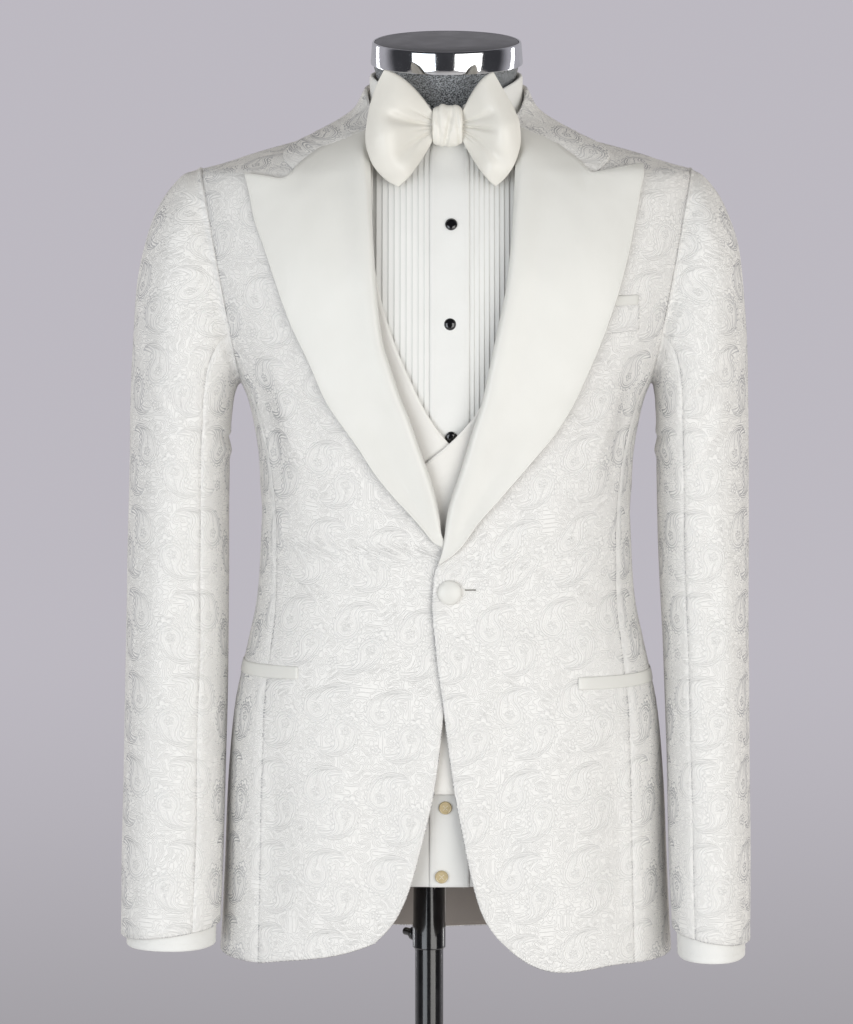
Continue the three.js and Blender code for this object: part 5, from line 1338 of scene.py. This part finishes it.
# Bow tie
bow = {"y": -67.6, "lobeY": -85.5, "tipY": -76, "pinch": 12, "half": 1.2, "knotZ": 1543.5,
       "knotX": 1, "knotHalf": 12.2, "knotHigh": 17.3, "knotDeep": 11, "knotInnerHigh": 13.7,
       "knotInnerDeep": 7.6}
bowRim = {
    -1: table(["rise", "x", "z"], [
        [0, -41.3, 1493.2], [0.14, -50.5, 1498], [0.28, -64, 1514], [0.42, -69, 1533.5], [0.55, -67.5, 1550],
        [0.7, -64, 1566], [0.85, -59, 1580], [1, -53.1, 1591.3],
    ]),
    1: table(["rise", "x", "z"], [
        [0, 42.2, 1493.6], [0.14, 50.5, 1501], [0.28, 59, 1515], [0.42, 63.1, 1532], [0.55, 62.4, 1546],
        [0.7, 57.5, 1559], [0.85, 49.5, 1573], [1, 40.1, 1589.3],
    ]),
}
bowFolds = {  # creases: height at the knot, rise across the wing, depth, width, end
    -1: {"nose": 9.5, "noseAt": 0.41, "creases": [
        (0.54, 0.1, 4.2, 0.04, 0.86), (0.3, -0.12, 2.6, 0.035, 0.75), (0.74, 0.04, 1.4, 0.03, 0.45),
        (0.44, -0.03, 1.2, 0.02, 0.4),
    ]},
    1: {"nose": 8.5, "noseAt": 0.47, "creases": [
        (0.5, -0.02, 4.4, 0.032, 0.66), (0.34, -0.15, 2.8, 0.036, 0.95), (0.64, 0.12, 1.9, 0.04, 0.75),
        (0.22, 0.02, 1.3, 0.03, 0.4),
    ]},
}


def wingPoint(side, out, rise, isFront, inset):
    rimX, rimZ = curveAt(bowRim[side], "rise", "x", rise), curveAt(bowRim[side], "rise", "z", rise)
    pinchX, pinchZ = side * bow["pinch"] + 1, bow["knotZ"] + (rise - 0.5) * 21
    reach = out * (1 - (inset + wall["bow"] / 2) / 62)
    look = bowFolds[side]
    edge = np.abs(rise - 0.5) * 2
    swell = 4 * out * (1 - out) * edge**3 * np.where(rise > 0.5, 7, -4.5)
    x, z = mix(pinchX, rimX, reach), mix(pinchZ, rimZ, reach) + swell
    ends = 0.3 + 0.7 * np.sqrt(np.maximum(1 - edge**4, 0))
    swing = np.sin(np.pi * out**1.1)
    nose = np.sin(np.pi * out**1.7) ** 0.8
    bulge = look["nose"] * nose * bell(rise - look["noseAt"], 0.13 + 0.05 * out)
    flap = 3.4 * swing * bell(rise - 0.84, 0.15) + 3.2 * swing * bell(rise - 0.1, 0.12)
    crease = 0
    for at, slope, depth, spread, last in look["creases"]:
        crease = crease + depth * bell(rise - at - slope * out, spread * (0.45 + out)) * ease(0, 0.08,
                                                                                              out) * (
            1 - ease(last - 0.3, last, out))
    half = mix(2.2, bow["half"], out) + 2.2 * swing * ends
    outerY = mix(bow["lobeY"], bow["tipY"], ease(1545, 1592, z))
    middle = mix(bow["y"], outerY, ease(0, 0.75, out))
    shell = half + np.where(inset > 0, -wall["bow"] / 2, wall["bow"] / 2)
    front = np.maximum((bulge + flap) * ends - crease, -half * 0.4)
    y = middle + np.where(isFront, -(shell + front), shell)
    return np.stack([x, y, z], -1)


def makeWing(side):
    outs = np.concatenate([np.linspace(0, 0.9, 34), [0.93, 0.955, 0.975, 0.99, 1.0]])
    out = np.concatenate([outs, outs[::-1]])[None, :]
    isFront = (np.arange(out.shape[1]) < len(outs))[None, :]
    rise = np.linspace(0, 1, 66)[:, None]
    outer = wingPoint(side, out, rise, isFront, 0.0)
    inner = wingPoint(side, out, rise, isFront, wall["bow"])
    name = f"bow_wing_{sideName[side]}"
    obj = clothWall(name, outer, inner, clothMap(outer), looks["bowSatin"])
    return place(obj, [name], "satin", cut=outer, held="folded", restsOn=["bow_knot"])


def makeKnot():
    across = np.linspace(-1, 1, 33)[:, None]
    angle = np.linspace(0, 2 * np.pi, 73)[None, :]
    crown = 1 - 0.16 * across**4
    front = np.clip(np.cos(angle), 0, 1)
    split = 0.1 + 0.25 * np.sin(angle)
    rolls = -3.6 * bell(across - split, 0.12) - 1.6 * bell(across + 0.62 + 0.1 * np.sin(angle * 2), 0.08)
    rolls = rolls - 1.5 * bell(across - 0.72 + 0.12 * np.sin(angle), 0.07)
    crinkle = 0.55 * np.sin(across * 8 + angle * 2.4) * np.cos(angle * 3.3 - across * 2)
    tabs = 2.2 * bell(across + 0.42, 0.22) * bell(angle - 1.25, 0.35) + 2.6 * bell(across - 0.5,
        0.22) * bell(angle - 1.3, 0.35)
    tabs = tabs + 1.2 * bell(across + 0.1, 0.3) * bell(angle - 5.2, 0.4)
    bumpy = (rolls + crinkle) * (0.35 + 0.65 * front) + tabs

    def grid(high, deep, narrow, extra):
        y = bow["y"] - np.cos(angle) * (deep * narrow + extra)
        z = bow["knotZ"] + np.sin(angle) * (high * narrow + extra)
        x = bow["knotX"] + across * bow["knotHalf"] + 0 * angle
        return np.stack(np.broadcast_arrays(x, y, z), -1)

    outer = grid(bow["knotHigh"], bow["knotDeep"], crown, bumpy)
    inner = grid(bow["knotInnerHigh"], bow["knotInnerDeep"], 1 + 0 * crown, 0 * bumpy)
    obj = clothWall("bow_knot", outer, inner, clothMap(outer), looks["bowSatin"], tube=True)
    return place(obj, ["bow_knot"], "satin", cut=outer, held="folded", restsOn=["bow_band"])


def makeBand():
    degrees = np.concatenate([[0], np.linspace(15, 345, 100), [360]])[None, :]
    fromFront = np.minimum(degrees, 360 - degrees)
    middle = np.where(fromFront < 90, mix(1543.5, 1562, ease(5, 90, fromFront)),
                      mix(1562, 1567, ease(90, 180, fromFront)))
    up = np.linspace(-1, 1, 7)[:, None]

    def grid(out):
        radius = radiusAt(formBody, degrees, 1558.0) + 7.4 + out
        a = np.radians(degrees)
        return np.stack(np.broadcast_arrays(radius * np.sin(a), -radius * np.cos(a), middle + up * 7), -1)

    outer, inner = grid(0.6), grid(-0.6)
    obj = clothWall("bow_band", outer, inner, clothMap(outer), looks["bowSatin"], tube=True)
    return place(obj, ["bow_band"], "satin", cut=outer, held="folded", restsOn=["shirt_collar"])


for side in (-1, 1):
    makeWing(side)
makeKnot()
makeBand()
print("bow tie made")

# Studs and buttons
studLook = {"radius": 5.15, "depth": 2.3, "places": [(4, 1461, 0.2), (3, 1379, -0.8), (4, 1284, 0.3)]}
shirtButtonLook = {"radius": 5.7, "depth": 2.4, "places": [(-0.8, 968, -0.3), (-4, 908, 0.2)]}
jacketButtonLook = {"x": 2.6, "z": 1153, "radius": 10.4, "depth": 6, "holeFrom": 15.5, "holeTo": 24.5,
                    "holeZ": 1155}


def seatOn(body, x, z, lift):  # the place of a disc that lies on a body surface
    degrees = angleAcross(body, np.float64(x), np.float64(z))
    normal = Vector(bodyNormal(body, degrees, np.float64(z)))
    spot = Vector(offBody(body, degrees, np.float64(z), np.float64(lift)) * metre)
    turn = Vector((0, 0, 1)).rotation_difference(normal)
    seatMatrix = turn.to_matrix().to_4x4()
    seatMatrix.translation = spot
    return seatMatrix


def dome(radius, depth, rim, steps=10):
    arc = [(radius * math.cos(a), rim + (depth - rim) * math.sin(a)) for a in np.linspace(0, math.pi / 2,
                                                                                          steps)[:-1]]
    return [(0, 0), (radius * 0.93, 0), (radius, rim * 0.45), *arc, (0, depth)]


def makeStuds():
    top = layer["placket"] + wall["placket"]
    for i, (x, z, seat) in enumerate(studLook["places"]):
        r, d = studLook["radius"], studLook["depth"]
        profile = [(0, 0), (r * 0.95, 0), (r, 0.35), (r * 0.98, 0.85), (r * 0.9, 1.0), (r * 0.86, 1.35),
                   (r * 0.66, 1.95),
                   (r * 0.42, 2.2), (0, d)]
        stud = turned(f"stud_{i + 1}", profile, looks["stone"], 40, seatOn(formBody, x, z, top + seat))
        place(stud, [f"shirt_stud_{i + 1}"], "stud_stone")
    for i, (x, z, seat) in enumerate(shirtButtonLook["places"]):
        r, d = shirtButtonLook["radius"], shirtButtonLook["depth"]
        profile = [(0, 0), (r * 0.9, 0), (r * 0.98, 0.4), (r, 1.0), (r * 0.96, 1.9), (r * 0.86, d),
                   (r * 0.74, d * 0.9),
                   (r * 0.64, d * 0.68), (r * 0.4, d * 0.62), (0, d * 0.62)]
        button = turned(f"low_button_{i + 1}", profile, looks["pearl"], 40,
                        seatOn(formBody, x, z, top + seat))
        place(button, [f"shirt_button_{i + 1}"], "shirt_button_pearl")
        buttonFace = seatOn(formBody, x, z, top + seat + d * 0.66)
        for a, b in (((-1.1, -1.1), (1.1, 1.1)), ((-1.1, 1.1), (1.1, -1.1))):
            ends = [np.array(buttonFace @ Vector((p[0] * metre, p[1] * metre, 0))) / metre for p in (a, b)]
            threadPaths.append(np.linspace(ends[0], ends[1], 4))


def makeJacketButton():
    spec = jacketButtonLook
    lift = float(jacketLift(1, np.float64(spec["x"]), np.float64(spec["z"]))) + seamGap
    profile = dome(spec["radius"], spec["depth"], 2.2, 16)
    button = turned("front_button", profile, looks["satin"], 72,
                    seatOn(jacketBody, spec["x"], spec["z"], lift))
    place(button, ["jacket_button"], "satin")


def makeButtonhole():
    spec = jacketButtonLook
    z = spec["holeZ"]
    share = np.linspace(0, 1, 24)
    x = mix(spec["holeFrom"], spec["holeTo"], share)
    degrees = angleAcross(jacketBody, x, z + 0 * x)
    for offset in (-0.9, 0.9):
        path = jacketPoint(1, degrees, z + offset + 0 * x, 0.25 + 0 * x)
        threadPaths.append(path)
    # painted shade: this dark strip along the buttonhole stands in for the shade in its cut
    up = np.linspace(-0.45, 0.45, 3)[:, None]
    outer = jacketPoint(1, degrees[None, :] + 0 * up, z + up + 0 * degrees[None, :],
                        0.12 + 0 * up + 0 * degrees[None, :])
    inner = jacketPoint(1, degrees[None, :] + 0 * up, z + up + 0 * degrees[None, :],
                        -0.4 + 0 * up + 0 * degrees[None, :])
    slitShade = clothWall("buttonhole", outer, inner, clothMap(outer), looks["slitShade"], roundness=0.2)
    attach(slitShade, "form")


makeStuds()
makeJacketButton()
makeButtonhole()
print("studs and buttons made")

# Dress form and stand
form = {"bottom": 903, "top": 1589.5, "tilt": math.radians(7), "bore": 14.6, "boreTop": 1140,
        "leanFrom": 1560}
cap = {"side": 65, "depth": 61.5, "centreY": -2.5, "rim": 19.5, "lip": 3, "disc": 61.5, "x": 0.5,
       "rise": 3.6, "lean": 1.2}
pole = {"x": -14.5, "radius": 12.4, "top": 1070}
socket = {"bottom": 827, "top": 1000, "bore": 12.8, "outer": 13.7, "flare": 14.4}
base = {"radius": 185, "thickness": 8, "hubRadius": 27, "hubHeight": 36}
clamp = {"z": 836, "turn": 215, "shank": 4, "collar": 6.2, "stem": 3.4, "length": 22}


def makeTorso():
    count = 96
    degrees = np.arange(count) / count * 360
    angle = np.radians(degrees)

    def bore(z):
        return np.stack([pole["x"] + form["bore"] * np.sin(angle), -form["bore"] * np.cos(angle),
                         z + 0 * angle], -1)

    rings = [bore(form["boreTop"]), bore(form["bottom"])]
    top = form["top"] + cap["rise"]
    for z in fine([form["bottom"], 985, 1215, 1285, 1340, 1400, 1450, 1484, 1502, 1515, 1531, 1540, 1548,
                   1558, 1572,
                   1583, top], 12):
        inside = mix(layer["formEase"], layer["neckEase"], ease(1512, 1541, z))
        ring = offBody(formBody, degrees, z + 0 * degrees, -inside + 0 * degrees)
        if z == form["bottom"]:
            ring[:, 2] = z
        lean = ease(form["leanFrom"], top, z) * math.tan(form["tilt"])
        ring[:, 2] += lean * (ring[:, 1] - cap["centreY"])
        rings.append(ring)
    obj = sweptSolid("torso", rings, looks["cover"])
    place(obj, ["form_torso"], "form_cloth")


def tilted():
    shift = Matrix.Translation(Vector((cap["x"], cap["centreY"], form["top"] + 0.4 + cap["rise"])) * metre)
    return shift @ Matrix.Rotation(form["tilt"], 4, "X")


def makeCap():
    flat = cap["depth"] / cap["side"]
    side, rim, lip = cap["side"], cap["rim"], cap["lip"]
    inner = cap["disc"] + seamGap
    profile = [(0, 0), (side - 1.2, 0), (side - 0.35, 0.35), (side, 1.2), (side - cap["lean"], rim - 1.8),
               (side - cap["lean"] - 0.3, rim - 0.8), (side - cap["lean"] - 0.8, rim - 0.15),
               (side - cap["lean"] - 1.4, rim),
               (inner + 0.5, rim), (inner, rim - 0.4), (inner, rim - lip),
               (0, rim - lip)]
    band = turned("cap_rim", profile, looks["chrome"], 160, tilted(), flat)
    place(band, ["form_cap_rim"], "cap_chrome")
    low, disc = rim - lip + seamGap, cap["disc"]
    profile = [(0, low), (disc, low), (disc, rim - 0.9), (disc - 0.3, rim - 0.35), (disc - 0.9, rim),
               (disc * 0.5, rim + 0.15),
               (0, rim + 0.2)]
    top = turned("cap_top", profile, looks["steel"], 160, tilted(), flat)
    place(top, ["form_cap_disc"], "cap_steel")


def atPole(z=0.0):
    return Matrix.Translation(Vector((pole["x"], 0, z)) * metre)


def makeStand():
    s, flare = socket, socket["flare"]
    profile = [(s["bore"], s["bottom"]), (flare - 0.8, s["bottom"]), (flare, s["bottom"] + 1),
               (flare, s["bottom"] + 21),
               (flare - 0.3, s["bottom"] + 22.5), (s["outer"], 884), (s["outer"], s["top"]),
               (s["bore"], s["top"]),
               (s["bore"], s["bottom"])]
    place(turned("socket", profile, looks["enamel"], 64, atPole()), ["form_socket"], "stand_black")
    foot, hub = base["thickness"] + seamGap, base["thickness"] + base["hubHeight"]
    r, wide = pole["radius"], base["hubRadius"]
    profile = [(0, foot), (wide - 0.6, foot), (wide, foot + 0.6), (wide, foot + 4.4), (wide - 0.6, foot + 5),
               (r + 5.6, hub - 4.4),
               (r + 4.8, hub - 1), (r + 4, hub), (r, hub), (r, pole["top"] - 1), (r - 1, pole["top"]),
               (0, pole["top"])]
    place(turned("pole", profile, looks["enamel"], 64, atPole()), ["stand_pole"], "stand_black", "stand")
    r, t = base["radius"], base["thickness"]
    profile = [(0, 0), (r - 1.4, 0), (r - 0.4, 0.4), (r, 1.4), (r, t - 3), (r - 0.8, t - 1), (r - 2.8, t),
               (0, t)]
    place(turned("foot_plate", profile, looks["enamel"], 128, atPole()), ["stand_base"], "stand_black",
          "stand")
    angle = math.radians(clamp["turn"])
    direction = Vector((math.sin(angle), -math.cos(angle), 0))
    turn = Vector((0, 0, 1)).rotation_difference(direction).to_matrix().to_4x4()
    turn.translation = (Vector((pole["x"], 0, clamp["z"])) + direction * (flare + seamGap)) * metre
    c = clamp
    profile = [(0, 0), (c["shank"], 0), (c["shank"], 4), (c["collar"] - 0.5, 4.8), (c["collar"], 5.4),
               (c["collar"], 8.6),
               (c["collar"] - 0.6, 9.2), (c["stem"], 10), (c["stem"], c["length"] - 1),
               (c["stem"] - 1, c["length"]),
               (0, c["length"])]
    place(turned("clamp", profile, looks["enamel"], 32, turn), ["clamp_screw"], "stand_black")


makeTorso()
makeCap()
makeStand()
print("form and stand made")

# Sewing threads
stitch = {"pitch": 0.0042, "length": 0.0026, "radius": 0.00013}


def stitchTree(material):
    tree = bpy.data.node_groups.new("stitches along a seam", "GeometryNodeTree")
    tree.interface.new_socket("Geometry", in_out="INPUT", socket_type="NodeSocketGeometry")
    sockets = {}
    for name, value in (("Pitch", stitch["pitch"]), ("Stitch length", stitch["length"]),
                        ("Thread radius", stitch["radius"])):
        sockets[name] = tree.interface.new_socket(name, in_out="INPUT", socket_type="NodeSocketFloat")
        sockets[name].default_value = value
    tree.interface.new_socket("Geometry", in_out="OUTPUT", socket_type="NodeSocketGeometry")
    make, link = tree.nodes.new, tree.links.new
    source, result = make("NodeGroupInput"), make("NodeGroupOutput")
    curve = make("GeometryNodeResampleCurve")
    curve.mode = "LENGTH"
    thread = make("GeometryNodeMeshCylinder")
    thread.inputs["Vertices"].default_value = 5
    thread.fill_type = "TRIANGLE_FAN"
    align = make("FunctionNodeAlignRotationToVector")
    align.axis = "Z"
    tangent = make("GeometryNodeInputTangent")
    copy = make("GeometryNodeInstanceOnPoints")
    real, paint = make("GeometryNodeRealizeInstances"), make("GeometryNodeSetMaterial")
    paint.inputs["Material"].default_value = material
    link(source.outputs["Geometry"], curve.inputs["Curve"])
    link(source.outputs["Pitch"], curve.inputs["Length"])
    link(source.outputs["Stitch length"], thread.inputs["Depth"])
    link(source.outputs["Thread radius"], thread.inputs["Radius"])
    link(tangent.outputs["Tangent"], align.inputs["Vector"])
    link(curve.outputs["Curve"], copy.inputs["Points"])
    link(thread.outputs["Mesh"], copy.inputs["Instance"])
    link(align.outputs["Rotation"], copy.inputs["Rotation"])
    link(copy.outputs["Instances"], real.inputs["Geometry"])
    link(real.outputs["Geometry"], paint.inputs["Geometry"])
    link(paint.outputs["Geometry"], result.inputs["Geometry"])
    return tree, {name: socket.identifier for name, socket in sockets.items()}


def makeThreads():
    curve = bpy.data.curves.new("sewing paths", "CURVE")
    curve.dimensions = "3D"
    for path in threadPaths:
        spline = curve.splines.new("POLY")
        spline.points.add(len(path) - 1)
        spline.points.foreach_set("co", np.concatenate([path * metre, np.ones((len(path), 1))], 1).ravel())
    holder = bpy.data.objects.new("sewing paths", curve)
    bpy.context.scene.collection.objects.link(holder)
    tree, identifiers = stitchTree(looks["thread"])
    modifier = holder.modifiers.new("stitches", "NODES")
    modifier.node_group = tree
    modifier[identifiers["Pitch"]] = stitch["pitch"]
    modifier[identifiers["Stitch length"]] = stitch["length"]
    modifier[identifiers["Thread radius"]] = stitch["radius"]
    bpy.context.view_layer.update()
    graph = bpy.context.evaluated_depsgraph_get()
    mesh = bpy.data.meshes.new_from_object(holder.evaluated_get(graph), depsgraph=graph)
    bpy.data.objects.remove(holder)
    mesh.name = "sewing_threads"
    if not mesh.materials:
        mesh.materials.append(looks["thread"])
    threads = bpy.data.objects.new("sewing_threads", mesh)
    bpy.context.scene.collection.objects.link(threads)
    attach(threads, "form")
    print("stitches:", len(mesh.polygons), "faces")


makeThreads()

# Studio
studio = {
    "target": (-16.8, 0, 1208), "distance": 5000, "elevation": 6.5, "pixelsPerMetreDepth": 5800,
    "longSide": 1024,
    "backdrop": (0.508, 0.487, 0.535), "low": (0.315, 0.305, 0.32), "floor": (0.55, 0.54, 0.55),
    "front": (0.045, 0.045, 0.05), "behind": (0.42, 0.41, 0.44), "fill": (0.46, 0.465, 0.475),
    "bounce": (0.58, 0.52, 0.44),
}


def softbox(name, azimuth, height, distance, size, power, colour=(1, 1, 1), aim=1.25):
    data = bpy.data.lights.new(name, "AREA")
    data.shape = "RECTANGLE"
    data.size, data.size_y = size
    data.energy = power
    data.color = colour
    lamp = bpy.data.objects.new(name, data)
    angle = math.radians(azimuth)
    lamp.location = (distance * math.sin(angle), -distance * math.cos(angle), height)
    lamp.rotation_euler = (Vector((0, 0, aim)) - lamp.location).to_track_quat("-Z", "Y").to_euler()
    bpy.context.scene.collection.objects.link(lamp)


def makeStudio():
    scene = bpy.context.scene
    scene.view_settings.view_transform = "Standard"
    world = bpy.data.worlds.new("studio")
    scene.world = world
    world.use_nodes = True
    tree = world.node_tree
    tree.nodes.clear()
    make, link = tree.nodes.new, tree.links.new
    where, split = make("ShaderNodeTexCoord"), make("ShaderNodeSeparateXYZ")
    link(where.outputs["Generated"], split.inputs["Vector"])
    up, depth = Field(tree, split.outputs[2]), Field(tree, split.outputs[1])
    seen, around = make("ShaderNodeMix"), make("ShaderNodeMix")
    for node in (seen, around):
        node.data_type = "RGBA"
    # painted shade: the backdrop that the camera sees darkens to the low colour towards the bottom
    link(up.ramp(-0.24, -0.13).socket, seen.inputs["Factor"])
    seen.inputs["A"].default_value = (*studio["low"], 1)
    seen.inputs["B"].default_value = (*studio["backdrop"], 1)
    link((depth.ramp(-0.1, 0.35) * up.ramp(0.35, 0.85, 1, 0.12)).socket, around.inputs["Factor"])
    around.inputs["A"].default_value = (*studio["front"], 1)
    around.inputs["B"].default_value = (*studio["behind"], 1)
    rays = make("ShaderNodeLightPath")
    matt, choose = make("ShaderNodeMix"), make("ShaderNodeMix")
    matt.data_type = choose.data_type = "RGBA"
    link(rays.outputs["Is Diffuse Ray"], matt.inputs["Factor"])
    link(around.outputs["Result"], matt.inputs["A"])
    bounce = make("ShaderNodeMix")
    bounce.data_type = "RGBA"
    link(depth.ramp(-0.3, 0.6).socket, bounce.inputs["Factor"])
    bounce.inputs["A"].default_value = (*studio["fill"], 1)
    bounce.inputs["B"].default_value = (*studio["bounce"], 1)
    link(bounce.outputs["Result"], matt.inputs["B"])
    link(rays.outputs["Is Camera Ray"], choose.inputs["Factor"])
    link(matt.outputs["Result"], choose.inputs["A"])
    link(seen.outputs["Result"], choose.inputs["B"])
    shade, output = make("ShaderNodeBackground"), make("ShaderNodeOutputWorld")
    link(choose.outputs["Result"], shade.inputs["Color"])
    link(shade.outputs["Background"], output.inputs["Surface"])
    softbox("key left", -34, 1.12, 2.7, (1.65, 1.9), 29, (0.90, 0.95, 1.0), 1.15)
    softbox("key right", 32, 1.12, 2.7, (2.0, 1.9), 35, (1.0, 0.985, 0.955), 1.15)
    softbox("strip left", -129, 1.3, 2.6, (0.4, 1.9), 9, (0.97, 0.98, 1.0), 1.3)
    softbox("strip right", 118, 1.3, 2.6, (0.4, 1.9), 10, (1.0, 0.99, 0.97), 1.3)
    floorMesh = bpy.data.meshes.new("floor")
    reach = 3.0
    floorMesh.from_pydata([(-reach, -reach, 0), (reach, -reach, 0), (reach, reach, 0), (-reach, reach, 0)],
                          [], [(0, 1, 2, 3)])
    floor = bpy.data.objects.new("floor", floorMesh)
    scene.collection.objects.link(floor)
    material, tree, shader = newMaterial("pale_floor")
    vector, _ = mapAxes(tree, useUv=False)
    addColour(tree, shader, noiseField(tree, vector, 0.004, 3.0), studio["floor"],
              tuple(c * 1.04 for c in studio["floor"]))
    shader.inputs["Roughness"].default_value = 0.75
    floorMesh.materials.append(material)


def makeCamera():
    data = bpy.data.cameras.new("camera")
    data.lens = studio["pixelsPerMetreDepth"] / studio["longSide"] * 36
    data.sensor_width = 36
    data.clip_end = 60
    camera = bpy.data.objects.new("camera", data)
    tilt = math.radians(studio["elevation"])
    target = Vector(studio["target"]) * metre
    camera.location = target + Vector((0, -math.cos(tilt), math.sin(tilt))) * studio["distance"] * metre
    camera.rotation_euler = (target - camera.location).to_track_quat("-Z", "Y").to_euler()
    bpy.context.scene.collection.objects.link(camera)
    bpy.context.scene.camera = camera


makeStudio()
makeCamera()
print("studio made")

bpy.context.view_layer.update()
